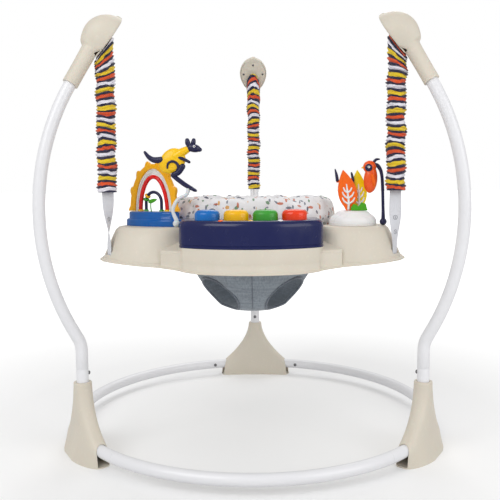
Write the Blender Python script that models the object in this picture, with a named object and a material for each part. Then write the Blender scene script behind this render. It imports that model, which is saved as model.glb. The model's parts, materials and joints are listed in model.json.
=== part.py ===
"""Baby jumper: a play tray with a swivelling fabric seat, hung on three sprung straps
from a three-legged tubular frame. Metres, +Z up, the front towards -Y, the origin on the
floor under the middle of the tray."""

import math

import bmesh
import bpy
from mathutils import Matrix, Vector

# Clearances
GAP = 0.0003                # between pieces that touch or are seated on each other
SLIDE_GAP = 0.0008          # between a moving piece and its guide

# Floor ring and legs
RING_RADIUS = 0.410         # centre line of the floor ring
RING_HEIGHT = 0.031         # its centre line above the floor
TUBE_RADIUS = 0.0125
TUBE_WALL = 0.0015
TUBE_SIDES = 12
BORE_SIDES = 6
FOOT_NAMES = {"left": 210.0, "right": 330.0, "rear": 90.0}
STUB_REACH = 0.138          # from a foot's middle to the joint line on the ring
LEG_JOINT_HEIGHT = 0.181    # joint line between a base tee and its leg
SWAGE_LENGTH = 0.040        # reduced tube end pushed into the next tube
SWAGE_TAPER = 0.003
BEND_RISE = 0.055           # from the joint line to where the bowed part of a leg starts
BEND_RADIUS = 0.060
ARC_STEPS = 7
LEG_SWELL = 0.077           # how far the bow's widest point lies outside the ring
BULGE_HEIGHT = 0.506
BOW_RISE = 0.259            # from the widest point to where the straight top starts
LEG_TOP_LENGTH = 0.074      # straight end inside the cap
BOW_STEPS = 8

# Snap buttons that lock the tubes
BUTTON_RADIUS = 0.0042
BUTTON_PROUD = 0.0042
BUTTON_DEPTH = 0.0035       # how far it reaches inside the swaged tube
BUTTON_TRAVEL = 0.0032
LEG_BUTTON_DROP = 0.0095    # below the leg's joint line
FLOOR_BUTTON_REACH = 0.123  # from a foot's middle, along the ring

# Foot covers, which the jumper stands on
COVER_TOP = 0.154
COVER_HALF_LENGTH = 0.100
COVER_TOP_RADIUS = TUBE_RADIUS + 0.006
COVER_END_HALF = TUBE_RADIUS + 0.008    # half its thickness where a tube leaves it
COVER_TOE = TUBE_RADIUS + 0.0255        # reach of the toe beyond the tube's centre line
COVER_WALL = 0.0025
SADDLE_HALF_LENGTH = 0.062
SADDLE_HALF_WIDTH = 0.008

# Leg caps
CAP_LENGTH = 0.1725
CAP_SIDES = 16
TRIM_START = 0.1556          # where the rear cap's inlay starts, from the cap's lower rim
TRIM_WIDTH = 0.0075
CAP_SLEEVE_HALF = TUBE_RADIUS + 0.0035
CAP_HEAD_HALF = 0.0365
CAP_WALL = 0.0026
PLATE_THICKNESS = 0.0024
SCREW_RADIUS = 0.0030
POST_RADIUS = 0.0044
SCREW_HEAD = 0.0010          # how far a screw's head stands out of its plate
SCREW_START = 0.0006
SHANK_RADIUS = 0.0015
SHANK_LENGTH = 0.0095        # from the plate's outer face
THREAD_RADIUS = 0.0018       # of the hole in its post
THREAD_DEPTH = 0.011
STRAP_SLOT = (0.030, 0.006)
SLOT_ALONG = 0.0995         # its middle, from the cap's lower rim

# Straps, springs and sleeves
WEB_WIDTH = 0.025
WEB_THICKNESS = 0.0018
END_BAR = (0.0055, 0.0085, 0.034)
LOOP_LENGTH = 0.0120        # stitched loop that bears on a cap's plate
LOOP_THICKNESS = 0.0085
SPRING_DROP = 0.0354        # from the slot down to the spring's top
SLEEVE_REACH = 0.0219599    # from a strap's line out to the plate beside its sleeve
SLEEVE_DROP = 0.0284        # from the slot down to where the sleeve passes the plate
SPRING_LENGTH = 0.208
SPRING_RADIUS = 0.0100
SPRING_BORE = 0.0070
SLEEVE_RISE = 0.036         # how far the sleeve reaches above its spring
SLEEVE_LENGTH = 0.294
SLEEVE_HALF = (0.0185, 0.0155)
SLEEVE_WALL = 0.0016
SLEEVE_FOLDS = 14
SLEEVE_SLANT = 1.35         # slope of its top, which follows the cap's plate
FOLD_DEPTH = 0.0028

# Tray
OPENING_RADIUS = 0.166
COLLAR_RADIUS = 0.178
SEAT_CLEARANCE = 0.1955      # radius kept free for the turning seat, above the collar
TRAY_RING_RADIUS = 0.222
RIM_BOTTOM = 0.404
SHELF_TOP = RIM_BOTTOM + 0.024
COLLAR_TOP = SHELF_TOP + 0.027
RIM_DIP = 0.016             # how much lower the rim is under the console
RIM_LIP = 0.0055
RIM_LIP_HEIGHT = 0.0028
TRAY_WALL = 0.0028
LOBE_INSET = 0.102          # from the hanging straps to the lobes' middles
LOBE_FOOT_RADIUS = 0.112
LOBE_TOP_RADIUS = 0.086
LOBE_TOP = RIM_BOTTOM + 0.070
LOBE_LEAN = 0.007           # the top's shift towards the middle
CLEAR_TOP = LOBE_TOP + 0.076       # how far the tray's cutters run above and below it
CLEAR_BOTTOM = RIM_BOTTOM - 0.064
TRAY_STEPS = 52
LOBE_SIDES = 24

# Console and its keys
CONSOLE_HALF = 0.145
CONSOLE_FRONT = 0.300
CONSOLE_CORNER = 0.245      # distance to the front of its corners
CONSOLE_BACK_RADIUS = 0.206
CONSOLE_BOTTOM = RIM_BOTTOM + 0.034
CONSOLE_TOP = CONSOLE_BOTTOM + 0.055
CONSOLE_WALL = 0.0030
KEY_MARGIN = 0.05875         # from the console's end to the middle of its first key
KEY_PITCH = (CONSOLE_HALF - KEY_MARGIN) / 1.5
KEY_SIZE = (KEY_PITCH / 2 - 0.00375, 0.0190, 0.021)     # half length, half width and rise
KEY_ARC = (0.2535, 0.9)      # distance to the middle of the keys' arc, and how strongly it bends
KEY_STEM = 0.010
KEY_TRAVEL = 0.004

# Seat
SEAT_FLANGE_RADIUS = 0.189
SEAT_NECK_RADIUS = 0.1645
SEAT_RING_WALL = 0.0040
SEAT_NECK_BOTTOM = COLLAR_TOP - 0.043
FLANGE_THICKNESS = 0.0045
ROLL_RADIUS = 0.158
ROLL_HALF_WIDTH = 0.034
ROLL_HALF_HEIGHT = 0.036
POUCH_BOTTOM = COLLAR_TOP - 0.184
POUCH_WALL = 0.0030
POUCH_SIDES = 24
LEG_HOLE_RADIUS = 0.052

# Toys on the left lobe: arches on a stepped base, and a hopping animal on a stalk
TOY_FLOOR = LOBE_TOP + GAP
ARCH_PLACE = (-0.0016, 0.0055)      # from the lobe's middle
ARCH_TURN = -30.0           # direction of the arches' plane, in degrees
ARCH_BASE = (0.071, 0.028)
ARCH_BASE_TOP = TOY_FLOOR + 0.0312
SUN_SIZE = (0.064, 0.102)
SUN_BAND = (0.014, 0.011)
SUN_THICKNESS = 0.010
WINDOW_THICKNESS = 0.003
RED_SIZE = (0.0365, 0.074)
RED_TUBE = 0.0045
NAVY_RADIUS = 0.0210
NAVY_LEG = 0.020
NAVY_TUBE = 0.0034
BEAD_RADIUS = 0.0068
BEAD_LENGTH = 0.0055
BEAD_TURN = 14.0            # the beads' place on the arch at rest, in degrees
HOPPER_PLACE = (0.0534, -0.0515)    # its foot, from the lobe's middle
HOPPER_LEAN = (-0.0080, 0.0, 0.1367)    # from its foot on the tray to the middle of its body
STALK_RADIUS = 0.0038
FOOT_BALL = 0.0075           # ball that a toy's stalk turns on

# Toys on the right lobe: leaves on a hill, and a bird on a stalk
HILL_PLACE = (0.0066, -0.0015)      # from the lobe's middle
HILL_RADIUS = 0.050
HILL_FLAT = 0.028
HILL_TOP = LOBE_TOP + 0.031
LEAF_THICKNESS = 0.006
BUSH_THICKNESS = 0.005
ORANGE_LEAF = (0.0205, 0.086, -0.010, -0.007)
YELLOW_LEAF = (0.0175, 0.080, 0.015, 0.006)
BIRD_PLACE = (0.0686, -0.0235)      # its foot, from the lobe's middle
BIRD_LEAN = (-0.0270, 0.0, 0.0977)  # from its foot on the tray to the middle of its body


def clear_scene():
    """Empty the scene before the model is built."""
    for item in list(bpy.data.objects):
        bpy.data.objects.remove(item, do_unlink=True)


def material(name, colour, roughness, metallic=0.0, alpha=1.0):
    """A Principled material, made once for each name."""
    found = bpy.data.materials.get(name)
    if found:
        return found
    made = bpy.data.materials.new(name)
    made.use_nodes = True
    shader = made.node_tree.nodes["Principled BSDF"]
    shader.inputs["Base Color"].default_value = (*colour, 1.0)
    shader.inputs["Roughness"].default_value = roughness
    shader.inputs["Metallic"].default_value = metallic
    shader.inputs["Alpha"].default_value = alpha
    made.diffuse_color = (*colour, alpha)
    return made


def beige():
    return material("beige_plastic", (0.72, 0.66, 0.55), 0.45)


def white_steel():
    return material("white_steel", (0.86, 0.86, 0.87), 0.30, 0.1)


def navy():
    return material("navy_plastic", (0.012, 0.016, 0.105), 0.22)


def webbing():
    return material("white_webbing", (0.80, 0.80, 0.82), 0.75)


def place(name, mesh_data, look, smooth=True, origin=None):
    """Turn a bmesh into a named object with its normals facing out."""
    bmesh.ops.remove_doubles(mesh_data, verts=mesh_data.verts, dist=1e-6)
    bmesh.ops.recalc_face_normals(mesh_data, faces=mesh_data.faces)
    if origin is not None:
        bmesh.ops.translate(mesh_data, verts=mesh_data.verts, vec=-Vector(origin))
    mesh = bpy.data.meshes.new(name)
    mesh_data.to_mesh(mesh)
    mesh_data.free()
    item = bpy.data.objects.new(name, mesh)
    if origin is not None:
        item.location = origin
    bpy.context.scene.collection.objects.link(item)
    if look:
        mesh.materials.append(look)
    if smooth:
        mesh.shade_smooth()
        mesh.set_sharp_from_angle(angle=math.radians(38))
    return item


def guide(item):
    """Mark an object as a cutter that isn't part of the model."""
    item.hide_render = True
    item.display_type = "WIRE"
    return item


def boolean(item, other, operation="DIFFERENCE", solver="EXACT"):
    """Add a Boolean with another object, which becomes a guide."""
    guide(other)
    step = item.modifiers.new(operation.title(), "BOOLEAN")
    step.operation = operation
    step.object = other
    step.solver = solver
    return item


def bridge_rings(mesh_data, rings, closed=False, caps=True):
    """Join rings of points, each with the same count, into a skin."""
    loops = [[mesh_data.verts.new(point) for point in ring] for ring in rings]
    pairs = list(zip(loops, loops[1:] + loops[:1])) if closed else list(zip(loops, loops[1:]))
    for low, high in pairs:
        count = len(low)
        for index in range(count):
            after = (index + 1) % count
            mesh_data.faces.new((low[index], low[after], high[after], high[index]))
    if caps and not closed:
        mesh_data.faces.new(loops[0][::-1])
        mesh_data.faces.new(loops[-1])
    return mesh_data


def loft(name, rings, look, closed=False, caps=True, smooth=True, origin=None):
    """A body through rings of points."""
    return place(name, bridge_rings(bmesh.new(), rings, closed, caps), look, smooth, origin)


def sweep_rings(path, radii, side, sides=TUBE_SIDES, flat=1.0):
    """Round sections along a path that lies in the plane square to side."""
    rings = []
    side = Vector(side).normalized()
    for index, point in enumerate(path):
        before = Vector(path[max(index - 1, 0)])
        after = Vector(path[min(index + 1, len(path) - 1)])
        along = (after - before).normalized()
        across = along.cross(side).normalized()
        radius = radii[index] if isinstance(radii, (list, tuple)) else radii
        turns = [math.tau * (step + 0.5) / sides for step in range(sides)]
        rings.append([
            Vector(point) + side * radius * math.cos(turn) + across * radius * flat * math.sin(turn)
            for turn in turns
        ])
    return rings


def tube(name, path, radii, side, look=None, sides=TUBE_SIDES, flat=1.0, origin=None):
    """A solid rod or a cutter along a path in one plane."""
    return loft(name, sweep_rings(path, radii, side, sides, flat), look, origin=origin)


def turned(name, profile, look, steps=24, centre=(0, 0, 0), closed=False, origin=None):
    """A body turned about the Z axis through centre, from (radius, height) points."""
    base = Vector(centre)
    rings = []
    for radius, height in profile:
        rings.append([
            base + Vector((
                radius * math.cos(math.tau * step / steps),
                radius * math.sin(math.tau * step / steps),
                height,
            ))
            for step in range(steps)
        ])
    return loft(name, rings, look, closed=closed, origin=origin)


def box(name, size, centre, look=None, turn=0.0, bevel=0.0):
    """A box, turned about Z, with rounded edges if asked."""
    mesh_data = bmesh.new()
    bmesh.ops.create_cube(mesh_data, size=1.0)
    bmesh.ops.scale(mesh_data, verts=mesh_data.verts, vec=size)
    if bevel:
        bmesh.ops.bevel(mesh_data, geom=mesh_data.edges, offset=bevel, segments=1, profile=0.5,
                        affect="EDGES", material=-1)
    spin = Matrix.Translation(centre) @ Matrix.Rotation(math.radians(turn), 4, "Z")
    bmesh.ops.transform(mesh_data, verts=mesh_data.verts, matrix=spin)
    return place(name, mesh_data, look, smooth=False)


def radial(angle):
    """The level direction at an angle in degrees."""
    return Vector((math.cos(math.radians(angle)), math.sin(math.radians(angle)), 0.0))


def tangent(angle):
    return radial(angle + 90.0)


def on_ring(angle, height=RING_HEIGHT, radius=RING_RADIUS):
    return radial(angle) * radius + Vector((0, 0, height))


def reach_to_degrees(reach):
    """The angle that an arc length along the floor ring spans."""
    return math.degrees(reach / RING_RADIUS)


def bow_radius():
    """Radius of a leg's bow, through the bend's end and its widest point."""
    rise = BULGE_HEIGHT - LEG_JOINT_HEIGHT - BEND_RISE
    return (rise * rise + LEG_SWELL * LEG_SWELL) / (2 * LEG_SWELL)


def leg_profile():
    """(distance, height) points of a leg's centre line, from its bend to its top."""
    radius = bow_radius()
    middle = RING_RADIUS + LEG_SWELL - radius
    low = math.asin((BULGE_HEIGHT - LEG_JOINT_HEIGHT - BEND_RISE) / radius)
    high = math.asin(BOW_RISE / radius)
    drop = BEND_RADIUS * math.tan(low / 2)
    start = drop / radius
    points = []
    for step in range(4):
        turn = low * step / 3
        points.append((
            RING_RADIUS + BEND_RADIUS * (1 - math.cos(turn)),
            LEG_JOINT_HEIGHT + BEND_RISE - drop + BEND_RADIUS * math.sin(turn),
        ))
    for step in range(1, BOW_STEPS + 1):
        turn = -low + start + (low - start + high) * step / BOW_STEPS
        points.append((middle + radius * math.cos(turn), BULGE_HEIGHT + radius * math.sin(turn)))
    last = Vector(points[-1])
    points.append(tuple(last + Vector((-math.sin(high), math.cos(high))) * LEG_TOP_LENGTH))
    return points


def leg_end():
    """Where the bow ends, and the direction of the straight end, as (distance, height)."""
    profile = leg_profile()
    low, high = Vector(profile[-2]), Vector(profile[-1])
    return low, (high - low).normalized()


def stub_angles(angle):
    """The two joint lines on either side of a foot."""
    reach = reach_to_degrees(STUB_REACH)
    return angle - reach, angle + reach


def tee_turns(angle):
    """Stations along a base tee, with one at the end of each swage inside it."""
    first, last = stub_angles(angle)
    swage = reach_to_degrees(SWAGE_LENGTH)
    return [first, first + swage, angle, last - swage, last]


def longer(path, extra):
    """A path with its two end points pushed outwards."""
    start = path[0] + (path[0] - path[1]).normalized() * extra
    end = path[-1] + (path[-1] - path[-2]).normalized() * extra
    return [start] + path[1:-1] + [end]


def button_hole(name, angle, height):
    """A cutter for a snap button's hole, on the side that faces the middle."""
    path = [on_ring(angle, height, RING_RADIUS - 0.020), on_ring(angle, height, RING_RADIUS - 0.004)]
    return tube(name, path, BUTTON_RADIUS + SLIDE_GAP, (0, 0, 1), sides=8)


def make_tee(name, angle):
    """A base tee: a curved floor stub with an upright welded on it, both hollow."""
    up = (0, 0, 1)
    side = tangent(angle)
    run = [on_ring(turn) for turn in tee_turns(angle)]
    floor = tube(f"base_tee_{name}", run, TUBE_RADIUS, up, white_steel())
    post = [on_ring(angle), on_ring(angle, LEG_JOINT_HEIGHT)]
    boolean(floor, tube(f"tee_post_{name}", post, TUBE_RADIUS, side), "UNION")
    bore = TUBE_RADIUS - TUBE_WALL
    boolean(floor, tube(f"tee_bore_{name}", longer(run, 0.004), bore, up))
    rise = [on_ring(angle, RING_HEIGHT), on_ring(angle, LEG_JOINT_HEIGHT + 0.004)]
    boolean(floor, tube(f"tee_rise_{name}", rise, bore, side))
    for reach in (-FLOOR_BUTTON_REACH, FLOOR_BUTTON_REACH):
        turn = angle + reach_to_degrees(reach)
        boolean(floor, button_hole(f"floor_hole_{name}_{reach > 0}", turn, RING_HEIGHT))
    return boolean(floor, button_hole(f"post_hole_{name}", angle, LEG_JOINT_HEIGHT - LEG_BUTTON_DROP))


def swaged(radius_full, count, at_start, at_end):
    """Radii along a tube whose ends are reduced to fit inside the next tube."""
    small = TUBE_RADIUS - TUBE_WALL - GAP
    radii = [radius_full] * count
    if at_start:
        radii[0] = radii[1] = small
    if at_end:
        radii[-1] = radii[-2] = small
    return radii


def make_floor_tube(name, first, last):
    """An arc of the floor ring, swaged into the tees, with its two fixed snap buttons."""
    joint = reach_to_degrees(GAP)
    taper = reach_to_degrees(SWAGE_TAPER)
    swage = reach_to_degrees(SWAGE_LENGTH)
    start, end = first + joint, last - joint
    turns = [start - swage, start, start + taper]
    turns += [start + taper + (end - start - 2 * taper) * step / ARC_STEPS for step in range(1, ARC_STEPS)]
    turns += [end - taper, end, end + swage]
    path = [on_ring(turn) for turn in turns]
    up = (0, 0, 1)
    item = tube(f"floor_tube_{name}", path, swaged(TUBE_RADIUS, len(turns), True, True), up, white_steel())
    bore = TUBE_RADIUS - 2 * TUBE_WALL - GAP
    boolean(item, tube(f"floor_bore_{name}", longer(path, 0.004), bore, up, sides=BORE_SIDES))
    back = reach_to_degrees(STUB_REACH - FLOOR_BUTTON_REACH)
    for turn in (first - back, last + back):
        stud = loft(f"floor_button_{name}_{turn > first}", button_rings(turn, RING_HEIGHT), None)
        boolean(item, stud, "UNION")
    return item


def make_leg(name, angle):
    """A bowed leg tube, swaged into its base tee and cut square inside its cap."""
    joint = LEG_JOINT_HEIGHT + GAP
    profile = [(RING_RADIUS, joint - SWAGE_LENGTH), (RING_RADIUS, joint), (RING_RADIUS, joint + SWAGE_TAPER)]
    profile += leg_profile()
    out = radial(angle)
    side = tangent(angle)
    path = [out * distance + Vector((0, 0, height)) for distance, height in profile]
    radii = swaged(TUBE_RADIUS, len(path), True, False)
    item = tube(f"leg_tube_{name}", path, radii, side, white_steel())
    bore = TUBE_RADIUS - 2 * TUBE_WALL - GAP
    boolean(item, tube(f"leg_bore_{name}", longer(path, 0.004), bore, side, sides=BORE_SIDES))
    return boolean(item, button_hole(f"leg_hole_{name}", angle, LEG_JOINT_HEIGHT - LEG_BUTTON_DROP))


def button_rings(angle, height, sides=8):
    """A domed snap button that points to the middle of the floor ring."""
    outer = RING_RADIUS - TUBE_RADIUS - BUTTON_PROUD
    inner = RING_RADIUS - TUBE_RADIUS + TUBE_WALL + BUTTON_DEPTH
    steps = ((outer, 0.45), (outer + 0.0012, 0.86), (outer + 0.0028, 1.0), (inner, 1.0))
    path = [on_ring(angle, height, radius) for radius, share in steps]
    radii = [BUTTON_RADIUS * share for radius, share in steps]
    return sweep_rings(path, radii, (0, 0, 1), sides)


def make_buttons():
    """The snap buttons that hold the legs in the base tees."""
    steel = material("button_steel", (0.42, 0.42, 0.44), 0.35, 0.8)
    level = LEG_JOINT_HEIGHT - LEG_BUTTON_DROP
    for name, angle in FOOT_NAMES.items():
        origin = on_ring(angle, level, RING_RADIUS - TUBE_RADIUS)
        loft(f"leg_button_{name}", button_rings(angle, level), steel, origin=origin)


def cover_outline(level, inset=0.0, count=12):
    """One level section of a foot cover, as (along, out) points about the upright."""
    drop = min(max((COVER_TOP - level) / COVER_TOP, 0.0), 1.0)
    spread = COVER_TOP_RADIUS + (COVER_HALF_LENGTH - COVER_TOP_RADIUS) * min(1.0, (drop * 1.28) ** 1.9)
    toe = max(0.0, (drop - 0.62) / 0.38)
    outer = COVER_TOP_RADIUS + 0.004 * drop + (COVER_TOE - COVER_TOP_RADIUS - 0.004) * toe ** 1.3
    inner = COVER_TOP_RADIUS + (COVER_END_HALF - COVER_TOP_RADIUS) * drop
    square = 1.0 - 0.55 * drop
    points = []
    for step in range(count):
        turn = math.tau * (step + 0.5) / count
        cos, sin = math.cos(turn), math.sin(turn)
        along = spread * math.copysign(abs(cos) ** square, cos)
        reach = outer if sin > 0 else inner
        share = abs(along) / spread
        reach = COVER_END_HALF + (reach - COVER_END_HALF) * (1 - share * share)
        over = reach * math.copysign(abs(sin) ** square, sin)
        points.append((along * (1 - inset / spread), over * (1 - inset / reach)))
    return points


def cover_rings(angle, levels, inset=0.0):
    """A foot cover's sections, bent along the floor ring; a level can be set outside its outline's own."""
    rings = []
    for shape, level in levels:
        ring = []
        for along, out in cover_outline(shape, inset):
            turn = angle + math.degrees(along / RING_RADIUS)
            ring.append(on_ring(turn, level, RING_RADIUS + out))
        rings.append(ring)
    return rings


def make_cover(name, angle):
    """A hollow foot cover on a flat sole, with arched openings and a saddle under the tee."""
    heights = (0.016, 0.034, 0.054, 0.080, 0.112)
    outer = [(0.0, 0.0)] + [(height, height) for height in heights] + [(COVER_TOP, COVER_TOP)]
    item = loft(f"foot_cover_{name}", cover_rings(angle, outer), beige())
    inner = [(0.0, COVER_WALL)] + [(height, height) for height in heights] + [(COVER_TOP, COVER_TOP + 0.004)]
    boolean(item, loft(f"cover_hollow_{name}", cover_rings(angle, inner, COVER_WALL), None))
    saddle = []
    top = RING_HEIGHT - TUBE_RADIUS - GAP
    for step in range(5):
        turn = angle + reach_to_degrees(SADDLE_HALF_LENGTH) * (step / 2 - 1)
        saddle.append([on_ring(turn, height, RING_RADIUS + out)
                       for out, height in ((SADDLE_HALF_WIDTH, COVER_WALL / 2), (SADDLE_HALF_WIDTH, top),
                                           (-SADDLE_HALF_WIDTH, top), (-SADDLE_HALF_WIDTH, COVER_WALL / 2))])
    boolean(item, loft(f"cover_saddle_{name}", saddle, None, smooth=False), "UNION")
    rim = TUBE_RADIUS + SLIDE_GAP
    for side in (-1, 1):
        start, middle = [on_ring(angle + side * reach_to_degrees(reach))
                         for reach in (STUB_REACH - 0.020, STUB_REACH - SWAGE_LENGTH)]
        end = middle.lerp(on_ring(angle), 0.28)
        boolean(item, tube(f"cover_arch_{name}_{side}", [start, middle, end], rim, (0, 0, 1)))
        slots = []
        for point in (start, middle, end):
            flat = Vector((point.x, point.y, 0))
            out = flat.normalized() * (rim * 0.96)
            top, floor = Vector((0, 0, RING_HEIGHT)), Vector((0, 0, COVER_WALL * 1.1))
            slots.append([flat + out + floor, flat + out + top, flat - out + top, flat - out + floor])
        boolean(item, loft(f"cover_slot_{name}_{side}", slots, None, smooth=False))
    return item


# Stations of a leg cap: (along, half width, inner face, outer face), from its lower rim
CAP_STATIONS = (
    (0.000, CAP_SLEEVE_HALF + 0.0008, -CAP_SLEEVE_HALF, CAP_SLEEVE_HALF),
    (0.045, CAP_SLEEVE_HALF + 0.0016, -CAP_SLEEVE_HALF, CAP_SLEEVE_HALF),
    (0.075, CAP_SLEEVE_HALF + 0.0035, -CAP_SLEEVE_HALF - 0.0006, CAP_SLEEVE_HALF + 0.0006),
    (0.083, CAP_SLEEVE_HALF + 0.0052, -CAP_SLEEVE_HALF - 0.0016, CAP_SLEEVE_HALF + 0.0016),
    (0.088, 0.0240, -CAP_SLEEVE_HALF - 0.0022, 0.0236),
    (0.105, 0.0322, -CAP_SLEEVE_HALF - 0.0036, 0.0290),
    (0.122, CAP_HEAD_HALF, -CAP_SLEEVE_HALF - 0.0052, 0.0300),
    (0.140, 0.0355, -CAP_SLEEVE_HALF - 0.0068, 0.0252),
    (0.155, 0.0290, -CAP_SLEEVE_HALF - 0.0084, 0.0150),
    (0.166, 0.0195, -CAP_SLEEVE_HALF - 0.0096, 0.0010),
    (CAP_LENGTH, 0.0080, -CAP_SLEEVE_HALF - 0.0102, -0.0130),
)


def cap_station(along):
    """Half width and the two faces of a cap at a distance from its lower rim."""
    for low, high in zip(CAP_STATIONS, CAP_STATIONS[1:]):
        if along <= high[0]:
            share = (along - low[0]) / (high[0] - low[0])
            return [a + (b - a) * share for a, b in zip(low[1:], high[1:])]
    return list(CAP_STATIONS[-1][1:])


def cap_point(angle, along, across, off):
    """A point of a cap, from its distance along the tube, sideways and outwards."""
    start, way = leg_end()
    distance = start.x + way.x * along + way.y * off
    height = start.y + way.y * along - way.x * off
    return radial(angle) * distance + tangent(angle) * across + Vector((0, 0, height))


def cap_ring(angle, along, inset=0.0, sink=None, count=CAP_SIDES):
    """One section of a cap: a flat inner face under a dome."""
    half, inner, outer = cap_station(along)
    middle = inner + 0.004 if along > 0.084 else (inner + outer) / 2
    ring = []
    for step in range(count):
        turn = math.tau * (step + 0.5) / count
        across = (half - inset) * math.cos(turn)
        if math.sin(turn) > 0:
            off = middle + (outer - inset - middle) * math.sin(turn)
        elif sink is None:
            off = middle + (middle - inner) * math.copysign(abs(math.sin(turn)) ** 0.6, math.sin(turn))
        else:
            off = inner - sink
        ring.append(cap_point(angle, along, across, off))
    return ring


def screw_places():
    """Where the three screws of a cap sit, as (along, across)."""
    return ((0.154, 0.0), (0.127, -0.0262), (0.127, 0.0262))


def plate_face(along):
    """Height of a cap plate's outer face, just inside the cap's rim."""
    return cap_station(along)[1] + 0.0006


def cap_posts(name, angle, radius, low, high, sides=6):
    """Three round posts or cutters at the screws of a cap, square to its plate."""
    group = bmesh.new()
    for along, across in screw_places():
        base = plate_face(along)
        top = high if high is not None else cap_top_at(along, across)
        path = [cap_point(angle, along, across, base + low), cap_point(angle, along, across, base + top)]
        bridge_rings(group, sweep_rings(path, radius, tangent(angle), sides))
    return place(name, group, None)


def cap_top_at(along, across):
    """How far a post can rise above the plate face and still end inside the cap's wall."""
    found = []
    for place_along in (along, along + POST_RADIUS):
        half, inner, outer = cap_station(place_along)
        share = math.sqrt(max(0.0, 1 - ((abs(across) + POST_RADIUS) / half) ** 2)) if across else 1.0
        found.append((inner + 0.004) + (outer - inner - 0.004) * share - CAP_WALL / 2 - plate_face(along))
    return min(found)


def lobe_spot(name, place):
    """A level place counted from the middle of a lobe."""
    middle = radial(FOOT_NAMES[name]) * LOBE_DISTANCE
    return middle.x + place[0], middle.y + place[1]


# Places that follow from the shape of the legs and the caps
STRAP_TOP = cap_point(0.0, SLOT_ALONG, 0, plate_face(SLOT_ALONG))
PLATE_WAY = leg_end()[1]
# Distance of the hanging straps from the middle, where the sleeves clear the sloping plates
STRAP_RADIUS = STRAP_TOP.x - SLEEVE_REACH - SLEEVE_DROP * PLATE_WAY.x / PLATE_WAY.y
SPRING_TOP = STRAP_TOP.z - SPRING_DROP
SPRING_BOTTOM = SPRING_TOP - SPRING_LENGTH
SLEEVE_TOP = SPRING_TOP + SLEEVE_RISE
SLEEVE_BOTTOM = SLEEVE_TOP - SLEEVE_LENGTH
LOBE_DISTANCE = STRAP_RADIUS - LOBE_INSET
ARCH_CENTRE = lobe_spot("left", ARCH_PLACE)
HOPPER_FOOT = lobe_spot("left", HOPPER_PLACE)
HILL_CENTRE = lobe_spot("right", HILL_PLACE)
BIRD_FOOT = lobe_spot("right", BIRD_PLACE)


def make_cap(name, angle):
    """A cap shell: sleeve, dome, screw posts and the pocket behind its plate."""
    item = loft(f"cap_shell_{name}", [cap_ring(angle, station[0]) for station in CAP_STATIONS], beige())
    posts = cap_posts(f"cap_post_{name}", angle, POST_RADIUS, PLATE_THICKNESS + 2 * GAP, None)
    pocket_ends = [0.072, 0.083, 0.105, 0.122, 0.140, 0.155, 0.163]
    rings = [cap_ring(angle, along, CAP_WALL, 0.010) for along in pocket_ends]
    boolean(item, loft(f"cap_pocket_{name}", rings, None))
    boolean(item, posts, "UNION")
    ends = [cap_point(angle, -0.01, 0, 0), cap_point(angle, LEG_TOP_LENGTH + 0.002, 0, 0)]
    boolean(item, tube(f"cap_bore_{name}", ends, TUBE_RADIUS + GAP, tangent(angle)))
    return boolean(item, cap_posts(f"cap_thread_{name}", angle, THREAD_RADIUS, -0.002, THREAD_DEPTH))


def make_plate(name, angle):
    """A cap plate with a slot for the strap and its three screws driven home."""
    slot = SLOT_ALONG
    stops = [0.0735, 0.083, 0.105, 0.122, 0.140, 0.155, 0.1625]
    rings = []
    for along in stops:
        half = (cap_station(along)[0] - CAP_WALL) * math.cos(math.pi / CAP_SIDES) - 2 * GAP
        face = plate_face(along)
        rings.append([
            cap_point(angle, along, across, off)
            for across, off in ((-half, face), (half, face), (half, face + PLATE_THICKNESS),
                                (-half, face + PLATE_THICKNESS))
        ])
    plate = loft(f"cap_plate_{name}", rings, beige(), smooth=False)
    width, depth = STRAP_SLOT
    face = plate_face(slot)
    corners = ((-depth / 2, -0.5), (depth / 2, -0.5), (depth / 2, 0.5), (-depth / 2, 0.5))
    cutter = loft(f"plate_slot_{name}", [
        [cap_point(angle, slot + along, across * width, off) for along, across in corners]
        for off in (face - 0.006, face + PLATE_THICKNESS + 0.006)
    ], None, smooth=False)
    boolean(plate, cutter)
    heads = cap_posts(f"plate_head_{name}", angle, SCREW_RADIUS, -SCREW_HEAD, PLATE_THICKNESS / 2)
    boolean(plate, heads, "UNION")
    shanks = cap_posts(f"plate_screw_{name}", angle, SHANK_RADIUS, SCREW_START, SHANK_LENGTH)
    return boolean(plate, shanks, "UNION")


def make_cap_trim():
    """The crescent inlay on top of the rear cap's dome."""
    angle = FOOT_NAMES["rear"]
    rings = []
    for step in range(13):
        turn = math.radians(38 + 104 * step / 12)
        fade = math.sin(math.pi * (step + 0.4) / 12.8)
        ring = []
        end = TRIM_START + TRIM_WIDTH * fade
        for along, lift in ((TRIM_START, GAP), (TRIM_START, 0.0015), (end, 0.0015), (end, GAP)):
            half, inner, outer = cap_station(along)
            across = (half + lift * 1.6) * math.cos(turn)
            off = inner + 0.004 + (outer + lift * 1.6 - inner - 0.004) * math.sin(turn)
            ring.append(cap_point(angle, along, across, off))
        rings.append(ring)
    loft("cap_trim_rear", rings, material("teal_plastic", (0.08, 0.36, 0.40), 0.3))


def ribbon_rings(stops, angle):
    """Sections of webbing from (distance, height, thickness, tilt, turn, width) stops."""
    rings = []
    for distance, height, thick, tilt, turn, width in stops:
        centre = radial(angle) * distance + Vector((0, 0, height))
        out, up = radial(angle), Vector((0, 0, 1))
        lean, spin = math.radians(tilt), math.radians(turn)
        along = -up * math.cos(lean) + out * math.sin(lean)
        wide = tangent(angle) * math.cos(spin) + out * math.sin(spin)
        over = along.cross(wide).normalized()
        rings.append([
            centre + wide * width / 2 * a + over * thick / 2 * b
            for a, b in ((-1, -1), (1, -1), (1, 1), (-1, 1))
        ])
    return rings


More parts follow.
